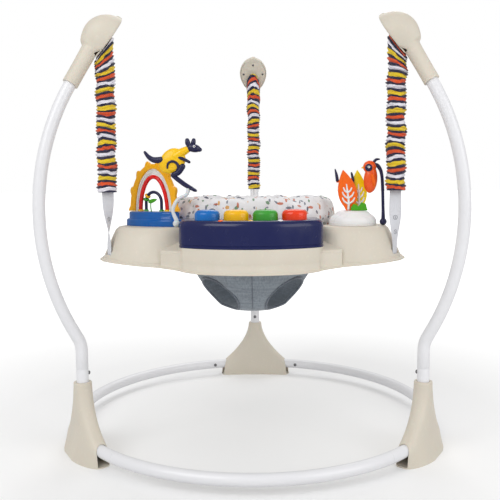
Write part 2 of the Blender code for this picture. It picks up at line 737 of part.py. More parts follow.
def make_upper_webbing(name, angle):
    """White webbing that hangs a spring from a stitched loop behind its cap's plate."""
    slot = STRAP_TOP
    start, way = leg_end()
    out, rise = way.y, -way.x
    tilt = math.degrees(math.atan2(-out, rise))
    stops = []
    ends = [plate_face(SLOT_ALONG + side * LOOP_THICKNESS / 2) for side in (-1, 1)]
    rest = max(ends) - plate_face(SLOT_ALONG) + PLATE_THICKNESS + GAP
    for off, thick in ((rest + LOOP_LENGTH, 0.004), (rest + LOOP_LENGTH - 0.0025, LOOP_THICKNESS),
                       (rest, LOOP_THICKNESS), (rest - 0.0001, WEB_THICKNESS), (-0.0010, WEB_THICKNESS)):
        stops.append((slot.x + out * off, slot.z + rise * off, thick, tilt, 0, WEB_WIDTH))
    stops.append((STRAP_RADIUS + 0.0012, slot.z - 0.0045, WEB_THICKNESS, -38, 0, WEB_WIDTH))
    stops.append((STRAP_RADIUS, slot.z - 0.010, WEB_THICKNESS, 0, 0, WEB_WIDTH * 0.92))
    stops.append((STRAP_RADIUS, SPRING_TOP + 0.014, WEB_THICKNESS, 0, 0, WEB_WIDTH * 0.70))
    stops.append((STRAP_RADIUS, SPRING_TOP + GAP, WEB_THICKNESS, 0, 0, WEB_WIDTH * 0.66))
    return loft(f"upper_webbing_{name}", ribbon_rings(stops, angle), webbing(), smooth=False)


def strap_point(angle):
    return radial(angle) * STRAP_RADIUS


def make_spring(name, angle):
    """The extension spring inside a sleeve, as the tube that its close coils fill."""
    profile = ((SPRING_RADIUS, SPRING_TOP), (SPRING_RADIUS, SPRING_BOTTOM),
               (SPRING_BORE, SPRING_BOTTOM), (SPRING_BORE, SPRING_TOP))
    look = material("spring_steel", (0.45, 0.45, 0.47), 0.3, 0.9)
    return turned(f"spring_{name}", profile[::-1], look, 12, strap_point(angle), closed=True)


def make_sleeve(name, angle):
    """A ruched fabric sleeve: gathers from a formula round a plain bore."""
    centre = strap_point(angle)
    rings = []
    levels = SLEEVE_FOLDS * 2 + 1
    height = SLEEVE_TOP - SLEEVE_BOTTOM
    for step in range(levels):
        share = step / (levels - 1)
        bulge = FOLD_DEPTH * (1 if step % 2 else -0.4)
        if step in (0, levels - 1):
            bulge = 0.0012 if step == 0 else -0.0015
        ring = []
        for corner in range(10):
            turn = math.tau * corner / 10
            wave = 1.0 + 0.35 * math.sin(3 * turn + 2.4 * step)
            out = SLEEVE_HALF[0] * (1 - 0.03 * math.cos(9 * share)) + bulge * wave
            over = SLEEVE_HALF[1] + bulge * wave
            tilt = 0.0035 * math.sin(turn + 0.9 * step) * math.sin(math.pi * share)
            point = radial(angle) * out * math.cos(turn) + tangent(angle) * over * math.sin(turn)
            tilt -= SLEEVE_SLANT * out * math.cos(turn) * share ** 6
            ring.append(centre + point + Vector((0, 0, SLEEVE_BOTTOM + height * share + tilt)))
        rings.append(ring)
    for share in (1.0, 0.9, 0.6, 0.3, 0.0):
        inner = [SLEEVE_HALF[0] - 0.0030, SLEEVE_HALF[1] - 0.0016]
        ring = []
        for corner in range(10):
            turn = math.tau * corner / 10
            point = (radial(angle) * inner[0] * math.cos(turn)
                     + tangent(angle) * inner[1] * math.sin(turn))
            tilt = -SLEEVE_SLANT * inner[0] * math.cos(turn) * share ** 6
            ring.append(centre + point + Vector((0, 0, SLEEVE_BOTTOM + height * share + tilt)))
        rings.append(ring)
    look = material("striped_fabric", (0.45, 0.30, 0.16), 0.9)
    return loft(f"spring_sleeve_{name}", rings, look, closed=True)


def make_lower_webbing(name, angle):
    """White webbing from a spring to a tray slot, with a quarter turn and a thick stitched end bar."""
    top = SPRING_BOTTOM - GAP
    end = tail_end()
    stops = [(STRAP_RADIUS, top, WEB_THICKNESS, 0, 90, WEB_WIDTH * 0.7),
             (STRAP_RADIUS, top - 0.014, WEB_THICKNESS, 0, 90, WEB_WIDTH * 0.95)]
    turn_top, turn_end = SLEEVE_BOTTOM - 0.004, slot_height() + 0.012
    for step in range(8):
        share = step / 7
        ease = share * share * (3 - 2 * share)
        level = turn_top + (turn_end - turn_top) * share
        stops.append((STRAP_RADIUS, level, WEB_THICKNESS, 0, 90 * (1 - ease), WEB_WIDTH))
    length, thick, width = END_BAR
    inward = STRAP_RADIUS - 0.008
    stops.append((STRAP_RADIUS, slot_height() - 0.006, WEB_THICKNESS, 0, 0, WEB_WIDTH))
    stops.append((inward, end, WEB_THICKNESS, 0, 0, WEB_WIDTH))
    stops.append((inward, end - 0.0004, thick, 0, 0, width))
    stops.append((inward, end - length, thick, 0, 0, width))
    return loft(f"lower_webbing_{name}", ribbon_rings(stops, angle), webbing(), smooth=False)


def slot_height():
    """Height at which a strap enters the slope of its lobe."""
    foot = LOBE_DISTANCE + LOBE_FOOT_RADIUS
    top = LOBE_DISTANCE - LOBE_LEAN + LOBE_TOP_RADIUS
    return RIM_BOTTOM + (LOBE_TOP - RIM_BOTTOM) * (foot - STRAP_RADIUS) / (foot - top)


def tail_end():
    return slot_height() - 0.015


def console_outline(inset=0.0, steps=8):
    """The console seen from above: a bowed front, straight ends and a back round the seat."""
    half = CONSOLE_HALF - inset
    front, corner = CONSOLE_FRONT - inset, CONSOLE_CORNER - inset
    bow = (CONSOLE_HALF ** 2 + (CONSOLE_FRONT - CONSOLE_CORNER) ** 2) / (2 * (CONSOLE_FRONT - CONSOLE_CORNER))
    middle = -CONSOLE_FRONT + bow
    radius = bow - inset
    cut = 0.011
    reach = math.asin((half - cut) / radius)
    points = [(half, -corner + 1.6 * cut)]
    for step in range(steps + 1):
        turn = reach * (1 - 2 * step / steps)
        points.append((radius * math.sin(turn), middle - radius * math.cos(turn)))
    points.append((-half, -corner + 1.6 * cut))
    back = CONSOLE_BACK_RADIUS + inset
    reach = math.asin(half / back)
    for step in range(steps + 1):
        turn = -reach + 2 * reach * step / steps
        points.append((back * math.sin(turn), -back * math.cos(turn)))
    return points


def ray_reach(points, turn):
    """Distance along a ray from the middle to the far side of an outline."""
    way = (math.cos(turn), math.sin(turn))
    best = 0.0
    for low, high in zip(points, points[1:] + points[:1]):
        edge = (high[0] - low[0], high[1] - low[1])
        cross = way[0] * edge[1] - way[1] * edge[0]
        if abs(cross) < 1e-12:
            continue
        share = (low[0] * way[1] - low[1] * way[0]) / cross
        reach = (low[0] * edge[1] - low[1] * edge[0]) / cross
        if -1e-9 <= share <= 1 + 1e-9 and reach > best:
            best = reach
    return best


def shelf_outline():
    """The low shelves between the console and the two front lobes."""
    side, front = 0.200, 0.228
    return [(0, 0), (-side, -front), (-CONSOLE_HALF, -CONSOLE_CORNER + 0.002),
            (CONSOLE_HALF, -CONSOLE_CORNER + 0.002), (side, -front)]


def lobe_reach(turn, radius=LOBE_FOOT_RADIUS, distance=LOBE_DISTANCE):
    """Distance along a ray to the far side of the nearest lobe's foot, or zero."""
    best = 0.0
    for angle in FOOT_NAMES.values():
        off = turn - math.radians(angle)
        inside = radius ** 2 - (distance * math.sin(off)) ** 2
        if inside > 0 and math.cos(off) > 0:
            best = max(best, distance * math.cos(off) + math.sqrt(inside))
    return best


def base_reach(turn, inset=0.0):
    return max(TRAY_RING_RADIUS, ray_reach(console_outline(), turn), ray_reach(shelf_outline(), turn)) - inset


def rim_height(turn):
    """The rim's lower edge, which dips under the console."""
    off = abs((math.degrees(turn) - 270 + 180) % 360 - 180)
    share = min(max((58 - off) / 40, 0.0), 1.0)
    return RIM_BOTTOM - RIM_DIP * share * share * (3 - 2 * share)


def tray_turns():
    """Angles round the tray."""
    return [math.tau * (step + 0.5) / TRAY_STEPS for step in range(TRAY_STEPS)]


def tray_ring(reach, level):
    """A closed ring of the tray: reach and level are functions of the angle."""
    return [(reach(turn) * math.cos(turn), reach(turn) * math.sin(turn), level(turn))
            for turn in tray_turns()]


def lip_reach(turn):
    """Distance along a ray to the edge of the tray's lip."""
    return max(base_reach(turn), lobe_reach(turn)) + RIM_LIP


def core_ring(level):
    """A level ring inside the opening, which keeps the caps of the tray's discs flat."""
    return tray_ring(lambda turn: OPENING_RADIUS * 0.8, lambda turn: level)


def lobe_rings(angle, foot, inset=0.0):
    """A lobe's mound, from its foot under the rim to its rounded shoulder and flat top."""
    tall = LOBE_TOP - RIM_BOTTOM
    stops = ((foot, 0.0), (RIM_BOTTOM + 0.35 * tall, 0.33), (RIM_BOTTOM + 0.76 * tall, 0.72),
             (RIM_BOTTOM + 0.92 * tall, 0.90), (LOBE_TOP, 1.13))
    rings = []
    for level, narrow in stops:
        radius = LOBE_FOOT_RADIUS - inset - (LOBE_FOOT_RADIUS - LOBE_TOP_RADIUS) * narrow
        middle = radial(angle) * (LOBE_DISTANCE - LOBE_LEAN * min(narrow, 1.0))
        height = level if narrow == 0 else level - inset * narrow
        rings.append([
            middle + Vector((radius * math.cos(turn), radius * math.sin(turn), height))
            for turn in [math.tau * (step + 0.5) / LOBE_SIDES for step in range(LOBE_SIDES)]
        ])
    return rings


def mould(item, other, operation="DIFFERENCE"):
    """A Boolean for the tray, whose wavy rim needs the manifold solver."""
    return boolean(item, other, operation, "MANIFOLD")


def make_tray():
    """The tray shell: shelf, lobes, console base, collar and rim in one hollow moulding."""
    base = loft("tray_shell", [
        core_ring(RIM_BOTTOM - 0.003),
        tray_ring(base_reach, lambda turn: rim_height(turn) + 0.0006),
        tray_ring(base_reach, lambda turn: SHELF_TOP - 0.003),
        tray_ring(lambda turn: base_reach(turn, 0.003), lambda turn: SHELF_TOP),
    ], beige())
    lip = loft("tray_lip", [
        core_ring(RIM_BOTTOM - 0.004),
        tray_ring(lip_reach, rim_height),
        tray_ring(lip_reach, lambda turn: rim_height(turn) + RIM_LIP_HEIGHT),
        core_ring(RIM_BOTTOM),
    ], None)
    mould(base, lip, "UNION")
    for name, angle in FOOT_NAMES.items():
        mould(base, loft(f"lobe_{name}", lobe_rings(angle, RIM_BOTTOM + 0.0012), None), "UNION")
    seat_cut = turned("seat_clearance", ((SEAT_CLEARANCE, COLLAR_TOP), (SEAT_CLEARANCE, CLEAR_TOP)), None, 48)
    mould(base, seat_cut)
    well = [[(x, y, height) for x, y in console_outline(-GAP)]
            for height in (CONSOLE_BOTTOM - GAP, CLEAR_TOP)]
    mould(base, loft("console_clearance", well, None, smooth=False))
    outline = console_outline(-0.0012)
    stand = [[(x, y, height) for x, y in outline]
             for height in (RIM_BOTTOM - 0.006, CONSOLE_BOTTOM - GAP)]
    mould(base, loft("console_stand", stand, None, smooth=False), "UNION")
    profile = ((COLLAR_RADIUS + 0.004, SHELF_TOP - 0.004), (COLLAR_RADIUS, COLLAR_TOP - 0.003),
               (COLLAR_RADIUS - 0.003, COLLAR_TOP))
    mould(base, turned("collar", profile, None, 40), "UNION")
    neck = OPENING_RADIUS + TRAY_WALL
    hollow = loft("tray_hollow", [
        tray_ring(lambda turn: base_reach(turn, TRAY_WALL), lambda turn: RIM_BOTTOM - 0.060),
        tray_ring(lambda turn: base_reach(turn, TRAY_WALL), lambda turn: SHELF_TOP - TRAY_WALL),
        tray_ring(lambda turn: neck, lambda turn: SHELF_TOP - TRAY_WALL),
        tray_ring(lambda turn: neck, lambda turn: RIM_BOTTOM - 0.060),
    ], None, closed=True)
    mould(base, hollow)
    for name, angle in FOOT_NAMES.items():
        cutter = loft(f"lobe_hollow_{name}", lobe_rings(angle, RIM_BOTTOM - 0.05, TRAY_WALL), None)
        collar_wall, roof = COLLAR_RADIUS + 0.002, COLLAR_TOP - TRAY_WALL
        keep = ((collar_wall, CLEAR_BOTTOM), (collar_wall, roof), (SEAT_CLEARANCE + TRAY_WALL, roof),
                (SEAT_CLEARANCE + TRAY_WALL, CLEAR_TOP))
        mould(cutter, turned(f"lobe_keep_{name}", keep, None, 40))
        roof = CONSOLE_BOTTOM - GAP - TRAY_WALL
        keep = [[(x, y, height) for x, y in console_outline(-TRAY_WALL)] for height in (roof, CLEAR_TOP)]
        mould(cutter, loft(f"console_keep_{name}", keep, None, smooth=False))
        mould(base, cutter)
    inner = console_outline(TRAY_WALL)
    well = [[(x, y, height) for x, y in inner] for height in (CLEAR_BOTTOM, CONSOLE_BOTTOM - GAP - TRAY_WALL)]
    mould(base, loft("console_well", well, None, smooth=False))
    for name, angle in FOOT_NAMES.items():
        middle = strap_point(angle) + Vector((0, 0, slot_height()))
        mould(base, box(f"strap_slot_{name}", (0.0070, 0.0320, 0.060), middle, None, angle))
    opening = turned("opening", ((OPENING_RADIUS, CLEAR_BOTTOM), (OPENING_RADIUS, CLEAR_TOP)), None, 40)
    return mould(base, opening)


def key_places():
    """Middles of the four keys, on an arc parallel to the console's front."""
    places = []
    for index in range(4):
        x = (index - 1.5) * KEY_PITCH
        places.append((x, -KEY_ARC[0] + KEY_ARC[1] * x * x))
    return places


def key_ring(centre, grow, height, steps=16):
    """An oval section of a key."""
    return [(centre[0] + (KEY_SIZE[0] + grow) * math.cos(math.tau * step / steps),
             centre[1] + (KEY_SIZE[1] + grow) * math.sin(math.tau * step / steps), height)
            for step in range(steps)]


def make_console():
    """The navy housing with four key wells, and the domed keys with their flanges."""
    stops = ((0.0, CONSOLE_BOTTOM), (0.0, CONSOLE_TOP - 0.012), (0.0016, CONSOLE_TOP - 0.005),
             (0.0050, CONSOLE_TOP - 0.0014), (0.0095, CONSOLE_TOP))
    rings = [[(x, y, height) for x, y in console_outline(inset)] for inset, height in stops]
    housing = loft("console_housing", rings, navy())
    inner = [[(x, y, height) for x, y in console_outline(CONSOLE_WALL + extra)]
             for extra, height in ((0.0, CONSOLE_BOTTOM - 0.01), (0.0, CONSOLE_TOP - 0.014),
                                   (0.005, CONSOLE_TOP - CONSOLE_WALL))]
    boolean(housing, loft("housing_hollow", inner, None))
    under = CONSOLE_TOP - CONSOLE_WALL - GAP
    looks = {"blue": (0.0, 0.155, 0.52), "yellow": (0.90, 0.50, 0.0), "green": (0.04, 0.33, 0.03),
             "red": (0.85, 0.06, 0.01)}
    for (name, colour), centre in zip(looks.items(), key_places()):
        well = [key_ring(centre, SLIDE_GAP, height) for height in (CONSOLE_TOP - 0.02, CONSOLE_TOP + 0.02)]
        boolean(housing, loft(f"well_{name}", well, None))
        rise = KEY_SIZE[2]
        stops = ((0.0028, under - 0.0025), (0.0028, under), (0.0, under), (0.0, CONSOLE_TOP + 0.001),
                 (-0.0008, CONSOLE_TOP + 0.30 * rise), (-0.0040, CONSOLE_TOP + 0.62 * rise),
                 (-0.0095, CONSOLE_TOP + 0.86 * rise), (-0.0165, CONSOLE_TOP + rise))
        rings = [key_ring(centre, grow, height) for grow, height in stops]
        loft(f"key_{name}", rings, material(f"{name}_plastic", colour, 0.18),
             origin=(centre[0], centre[1], CONSOLE_TOP))
    top = CONSOLE_BOTTOM - 2 * GAP - TRAY_WALL
    black = material("black_plastic", (0.03, 0.03, 0.03), 0.5)
    module = box("sound_module", (0.150, 0.046, 0.026), (0, -0.246, top - 0.013), black, bevel=0.002)
    boolean(module, box("battery_door", (0.090, 0.034, 0.006), (0, -0.246, top - 0.0255), None), "UNION")


def ellipse_band(outer, inner, steps, bump=0.0):
    """Outline of a half-ellipse band that stands on its two ends, as (along, up) points."""
    points = []
    for step in range(steps + 1):
        turn = math.pi * step / steps
        swell = 1.0
        if bump:
            swell += bump * max(0.0, math.cos(turn * 14)) ** 3
        points.append((outer[0] * swell * math.cos(turn), outer[1] * swell * math.sin(turn)))
    for step in range(steps // 2, -1, -1):
        turn = math.pi * step / (steps // 2)
        points.append((inner[0] * math.cos(turn), inner[1] * math.sin(turn)))
    return points


def upright_plate(name, outline, centre, turn, level, thickness, look):
    """A flat plate cut to an outline, standing at a place and turned about Z."""
    along, over = radial(turn), tangent(turn)
    base = Vector((centre[0], centre[1], level))
    rings = [[base + along * u + Vector((0, 0, v)) + over * side for u, v in outline]
             for side in (-thickness / 2, thickness / 2)]
    return loft(name, rings, look, smooth=False)


def arch_path(size, leg, steps):
    """Points of an arch in its own plane, with straight legs under a half ellipse."""
    points = [(size[0], 0.0)] if leg else []
    for step in range(steps + 1):
        turn = math.pi * step / steps
        points.append((size[0] * math.cos(turn), leg + size[1] * math.sin(turn)))
    if leg:
        points.append((-size[0], 0.0))
    return points


def arch_point(along, up, over=0.0):
    way, side = radial(ARCH_TURN), tangent(ARCH_TURN)
    base = Vector((ARCH_CENTRE[0], ARCH_CENTRE[1], ARCH_BASE_TOP + GAP + up))
    return base + way * along + side * over


def make_rail(name, size, leg, radius, look, steps):
    path = [arch_point(along, up) for along, up in arch_path(size, leg, steps)]
    side = tangent(ARCH_TURN)
    rings = sweep_rings(path, radius, side, 8)
    for ring in (rings[0], rings[-1]):
        for point in ring:
            point.z = ARCH_BASE_TOP + GAP
    return loft(name, rings, look)


def oval_rings(centre, turn, stops, steps=28, power=0.8):
    """Level rounded-oblong sections from (half length, half width, height) stops."""
    rings = []
    for length, width, height in stops:
        ring = []
        for step in range(steps):
            angle = math.tau * step / steps
            cos, sin = math.cos(angle), math.sin(angle)
            along = radial(turn) * length * math.copysign(abs(cos) ** power, cos)
            over = tangent(turn) * width * math.copysign(abs(sin) ** power, sin)
            ring.append(Vector((centre[0], centre[1], height)) + along + over)
        rings.append(ring)
    return rings


def make_left_toys():
    """The stepped base, the sun arch and its window, two rails and the sliding beads."""
    length, width = ARCH_BASE
    stops = ((length, width, TOY_FLOOR), (length, width, TOY_FLOOR + 0.013),
             (length - 0.003, width - 0.003, TOY_FLOOR + 0.016),
             (length - 0.006, width - 0.006, TOY_FLOOR + 0.017),
             (length - 0.006, width - 0.006, ARCH_BASE_TOP - 0.002),
             (length - 0.008, width - 0.008, ARCH_BASE_TOP))
    blue = material("blue_plastic", (0.0, 0.155, 0.52), 0.18)
    loft("toy_base_blue", oval_rings(ARCH_CENTRE, ARCH_TURN, stops), blue)
    inner = (SUN_SIZE[0] - SUN_BAND[0], SUN_SIZE[1] - SUN_BAND[1])
    stand = ARCH_BASE_TOP + GAP
    upright_plate("sun_arch", ellipse_band(SUN_SIZE, inner, 56, 0.085), ARCH_CENTRE, ARCH_TURN, stand,
                  SUN_THICKNESS, material("sun_plastic", (0.93, 0.40, 0.0), 0.3))
    outer = (inner[0] - 2 * GAP, inner[1] - 2 * GAP)
    hole = (RED_SIZE[0] + RED_TUBE + SLIDE_GAP, RED_SIZE[1] + RED_TUBE + SLIDE_GAP)
    upright_plate("arch_window", ellipse_band(outer, hole, 28), ARCH_CENTRE, ARCH_TURN, stand,
                  WINDOW_THICKNESS, material("clear_plastic", (0.85, 0.85, 0.82), 0.2, 0.0, 0.6))
    make_rail("red_rail", RED_SIZE, 0.0, RED_TUBE, material("red_plastic", (0.78, 0.015, 0.005), 0.2), 18)
    make_rail("navy_rail", (NAVY_RADIUS, NAVY_RADIUS), NAVY_LEG, NAVY_TUBE, navy(), 16)
    make_beads()


def make_beads():
    """Two bead rings threaded on the navy rail, turning about the arch's middle."""
    pivot = arch_point(0, NAVY_LEG)
    side = tangent(ARCH_TURN)
    bore, outer = NAVY_TUBE + SLIDE_GAP, BEAD_RADIUS
    profile = ((bore, -0.5), (outer * 0.8, -0.5), (outer, -0.15),
               (outer, 0.15), (outer * 0.8, 0.5), (bore, 0.5))
    looks = {"green": (0.04, 0.33, 0.03), "yellow": (0.90, 0.50, 0.0)}
    for index, (name, colour) in enumerate(looks.items()):
        turn = math.radians(180 - BEAD_TURN) - index * (BEAD_LENGTH + 2 * GAP) / (NAVY_RADIUS - BEAD_RADIUS)
        out = radial(ARCH_TURN) * math.cos(turn) + Vector((0, 0, 1)) * math.sin(turn)
        along = radial(ARCH_TURN) * math.sin(turn) - Vector((0, 0, 1)) * math.cos(turn)
        centre = pivot + out * NAVY_RADIUS
        rings = []
        for radius, place_along in profile:
            rings.append([
                centre + along * place_along * BEAD_LENGTH
                + (out * math.cos(spin) + side * math.sin(spin)) * radius
                for spin in [math.tau * step / 10 for step in range(10)]
            ])
        loft(f"bead_{name}", rings, material(f"{name}_plastic", colour, 0.18), closed=True, origin=pivot)


def blob(name, centre, size, look, tilt=0.0, steps=12, rings=7, taper=0.0):
    """A flattened egg, tilted in the plane that faces the front."""
    mesh_data = bmesh.new()
    bmesh.ops.create_uvsphere(mesh_data, u_segments=steps, v_segments=rings, radius=1.0)
    for point in mesh_data.verts:
        swell = 1.0 + taper * point.co.z
        point.co = Vector((point.co.x * size[0] * swell, point.co.y * size[1] * swell, point.co.z * size[2]))
    turn = Matrix.Translation(centre) @ Matrix.Rotation(math.radians(tilt), 4, "Y")
    bmesh.ops.transform(mesh_data, verts=mesh_data.verts, matrix=turn)
    return place(name, mesh_data, look)


def smooth_path(points, steps):
    """A smooth curve through points, for stalks and limbs."""
    found = []
    ends = [points[0]] + list(points) + [points[-1]]
    for index in range(len(points) - 1):
        a, b, c, d = [Vector(point) for point in ends[index:index + 4]]
        for step in range(steps):
            t = step / steps
            found.append(0.5 * ((2 * b) + (c - a) * t + (2 * a - 5 * b + 4 * c - d) * t * t
                                + (3 * b - a - 3 * c + d) * t ** 3))
    found.append(Vector(points[-1]))
    return found


def limb(name, points, radii, look, sides=6, steps=2):
    """A tapering rounded limb through points in a plane that faces the front."""
    path = smooth_path(points, steps)
    found = []
    for index in range(len(path)):
        share = index / (len(path) - 1) * (len(radii) - 1)
        low = min(int(share), len(radii) - 2)
        found.append(radii[low] + (radii[low + 1] - radii[low]) * (share - low))
    return loft(name, sweep_rings(path, found, (0, 1, 0), sides), look)


def fuse(item, *others):
    for other in others:
        boolean(item, other, "UNION")
    return item


def ball_foot(stalk, foot):
    """End a stalk in the ball that it turns on, just clear of the tray."""
    centre = (foot[0], foot[1], TOY_FLOOR + FOOT_BALL)
    return fuse(stalk, blob(f"{stalk.name}_ball", centre, (FOOT_BALL, FOOT_BALL, FOOT_BALL), None))


def make_hopper():
    """A hopping animal on a springy stalk: yellow body, navy head, tail and legs."""
    x, y, z = HOPPER_FOOT[0] + HOPPER_LEAN[0], HOPPER_FOOT[1] + HOPPER_LEAN[1], TOY_FLOOR + HOPPER_LEAN[2]
    foot = (HOPPER_FOOT[0], HOPPER_FOOT[1], TOY_FLOOR + FOOT_BALL)
    stalk_points = [foot, (x + 0.008, y, TOY_FLOOR + 0.014), (x + 0.001, y, TOY_FLOOR + 0.036),
                    (x + 0.012, y, TOY_FLOOR + 0.058), (x + 0.030, y, TOY_FLOOR + 0.068),
                    (x + 0.034, y, TOY_FLOOR + 0.079)]
    white = material("white_plastic", (0.84, 0.84, 0.85), 0.3)
    radii = [0.0055, 0.0048, STALK_RADIUS, STALK_RADIUS, STALK_RADIUS, STALK_RADIUS, STALK_RADIUS]
    stalk = ball_foot(limb("hopper_stalk", stalk_points, radii, white, 7, 3), foot)
    leg_points = [(x + 0.002, y, z - 0.030), (x + 0.012, y, z - 0.038), (x + 0.028, y, z - 0.050),
                  (x + 0.042, y, z - 0.058)]
    limbs = limb("hopper_limbs", leg_points, [0.0045, 0.0050, 0.0050, 0.0042], navy())
    fuse(
        limbs,
        limb("hopper_thigh", [(x + 0.004, y, z - 0.028), (x + 0.014, y, z - 0.024),
                              (x + 0.022, y, z - 0.012)], [0.0050, 0.0062, 0.0070], None),
        limb("hopper_tail", [(x - 0.020, y, z + 0.002), (x - 0.036, y, z + 0.002), (x - 0.055, y, z + 0.018)],
             [0.0070, 0.0058, 0.0030], None),
        blob("hopper_head", (x + 0.046, y, z + 0.026), (0.0155, 0.0085, 0.0085), None, 12),
        limb("hopper_ear", [(x + 0.036, y, z + 0.028), (x + 0.034, y, z + 0.044)], [0.0050, 0.0036], None),
        limb("hopper_ear_far", [(x + 0.040, y, z + 0.030), (x + 0.045, y, z + 0.045)],
             [0.0045, 0.0034], None),
        limb("hopper_arm", [(x + 0.016, y, z + 0.006), (x + 0.037, y, z - 0.003)], [0.0036, 0.0028], None),
        limb("hopper_core", [(x - 0.022, y, z + 0.002), (x + 0.004, y, z - 0.004), (x + 0.040, y, z + 0.026)],
             [0.0040, 0.0040, 0.0040], None),
        limb("hopper_hip", [(x + 0.004, y, z - 0.004), (x + 0.018, y, z - 0.016)], [0.0040, 0.0040], None),
    )
    boolean(limbs, blob("stalk_seat", (x + 0.034, y, TOY_FLOOR + 0.078), (0.0042, 0.0042, 0.0060), None))
    body = blob("hopper_body", (x + 0.002, y, z), (0.0215, 0.0095, 0.0310), material(
        "yellow_plastic", (0.90, 0.50, 0.0), 0.18), 58, 14, 8, 0.12)
    return stalk, limbs, body


def leaf_outline(half, height, lean, steps=14):
    """A pointed leaf that stands on a short stem and leans to one side."""
    right, left = [], []
    for step in range(steps + 1):
        share = step / steps
        width = half * math.sin(math.pi * (0.08 + 0.92 * share) ** 0.80) ** 0.85
        width = max(width, 0.0005)
        middle = lean * share * share
        right.append((middle + width, height * (0.10 + 0.90 * share)))
        left.append((middle - width, height * (0.10 + 0.90 * share)))
    stem = half * 0.24
    return [(-stem, 0.0), (stem, 0.0)] + right + left[::-1]


def make_right_toys():
    """The white hill with its two leaves and bushes."""
    white = material("white_plastic", (0.84, 0.84, 0.85), 0.3)
    profile = ((HILL_RADIUS, TOY_FLOOR), (HILL_RADIUS, TOY_FLOOR + 0.010),
               (HILL_RADIUS - 0.004, TOY_FLOOR + 0.018), (HILL_FLAT + 0.008, HILL_TOP - 0.005),
               (HILL_FLAT, HILL_TOP - 0.0006), (HILL_FLAT - 0.003, HILL_TOP))
    turned("hill_base", profile, white, 24, (HILL_CENTRE[0], HILL_CENTRE[1], 0))
    stand = HILL_TOP + GAP
    for name, leaf, colour in (("leaf_orange", ORANGE_LEAF, (0.95, 0.20, 0.0)),
                               ("leaf_yellow", YELLOW_LEAF, (0.85, 0.60, 0.005))):
        half, height, across, behind = leaf
        centre = (HILL_CENTRE[0] + across, HILL_CENTRE[1] + behind)
        outline = leaf_outline(half, height, -0.006)
        upright_plate(name, outline, centre, 0.0, stand, LEAF_THICKNESS, material(name, colour, 0.35))
    bush = []
    for across, size, first, last in ((0.019, 0.0100, 0, 148), (0.002, 0.0080, 42, 180)):
        for step in range(8):
            turn = math.radians(first + (last - first) * step / 7)
            bush.append((across + size * math.cos(turn), size * 1.7 * math.sin(turn)))
    centre = (HILL_CENTRE[0], HILL_CENTRE[1] - 0.0155)
    green = material("leaf_green", (0.07, 0.37, 0.01), 0.4)
    upright_plate("bushes_green", bush, centre, 0.0, stand, BUSH_THICKNESS, green)


def make_bird():
    """An orange bird with navy tail feathers, hung on the tip of a springy stalk."""
    x, y, z = BIRD_FOOT[0] + BIRD_LEAN[0], BIRD_FOOT[1] + BIRD_LEAN[1], TOY_FLOOR + BIRD_LEAN[2]
    foot = (BIRD_FOOT[0], BIRD_FOOT[1], TOY_FLOOR + FOOT_BALL)
    body = blob("bird_body", (x - 0.001, y, z), (0.0145, 0.0100, 0.0300), material(
        "bird_orange", (0.90, 0.12, 0.0), 0.25), 4, 14, 8, -0.05)
    boolean(body, blob("bird_head", (x - 0.003, y, z + 0.025), (0.0140, 0.0095, 0.0135), None), "UNION")
    stalk = limb("bird_stalk", [foot, (x + 0.026, y, TOY_FLOOR + 0.035), (x + 0.023, y, z + 0.004),
                                (x + 0.015, y, z + 0.026), (x + 0.004, y, z + 0.030)],
                 [0.0048, 0.0034, 0.0034, 0.0042, 0.0042], navy(), 7, 3)
    ball_foot(stalk, foot)
    patch = (x - 0.006, y - 0.0078, z + 0.024)
    fuse(stalk, blob("bird_eye_patch", patch, (0.0070, 0.0035, 0.0070), None, 0, 8, 5))
    fuse(stalk, limb("bird_neck", [(x - 0.006, y - 0.0075, z + 0.024), (x + 0.005, y, z + 0.029)],
                     [0.0030, 0.0036], None))
    return body, stalk


def carve(item, other, name):
    """Cut a neighbour out of a piece, grown by the gap that touching pieces keep."""
    bpy.context.view_layer.update()
    graph = bpy.context.evaluated_depsgraph_get()
    mesh = bpy.data.meshes.new_from_object(other.evaluated_get(graph))
    grown = bmesh.new()
    grown.from_mesh(mesh)
    grown.normal_update()
    for point in grown.verts:
        point.co += point.normal * GAP * 3
    cutter = place(name, grown, None)
    cutter.matrix_world = other.matrix_world
    return boolean(item, cutter)


def make_seat():
    """The swivelling seat: a plastic ring, the padded roll round it and the hanging pouch."""
    low = COLLAR_TOP + GAP
    top = low + FLANGE_THICKNESS
    inner = SEAT_NECK_RADIUS - SEAT_RING_WALL
    profile = ((SEAT_FLANGE_RADIUS, low), (SEAT_FLANGE_RADIUS, top - 0.001),
               (SEAT_FLANGE_RADIUS - 0.001, top), (inner, top), (inner, SEAT_NECK_BOTTOM),
               (SEAT_NECK_RADIUS, SEAT_NECK_BOTTOM), (SEAT_NECK_RADIUS, low))
    turned("seat_ring", profile[::-1], material("grey_plastic", (0.45, 0.44, 0.42), 0.4), 40, closed=True)
    rings = []
    middle = top + GAP + ROLL_HALF_HEIGHT
    for step in range(40):
        turn = math.tau * step / 40
        pull = 1.0 - 0.035 * (0.5 + 0.5 * math.cos(turn * 10)) ** 2
        ring = []
        for corner in range(12):
            spin = math.tau * corner / 12
            up = math.sin(spin)
            flat = -1.0 if up < -0.8 else up
            reach = ROLL_RADIUS + ROLL_HALF_WIDTH * pull * math.cos(spin)
            height = middle + ROLL_HALF_HEIGHT * (flat if flat < 0 else flat * pull)
            ring.append((reach * math.cos(turn), reach * math.sin(turn), height))
        rings.append(ring)
    loft("seat_cushion", rings, material("printed_cotton", (0.80, 0.79, 0.78), 0.9), closed=True)
    make_pouch(inner * math.cos(math.pi / 40) - 2 * GAP)


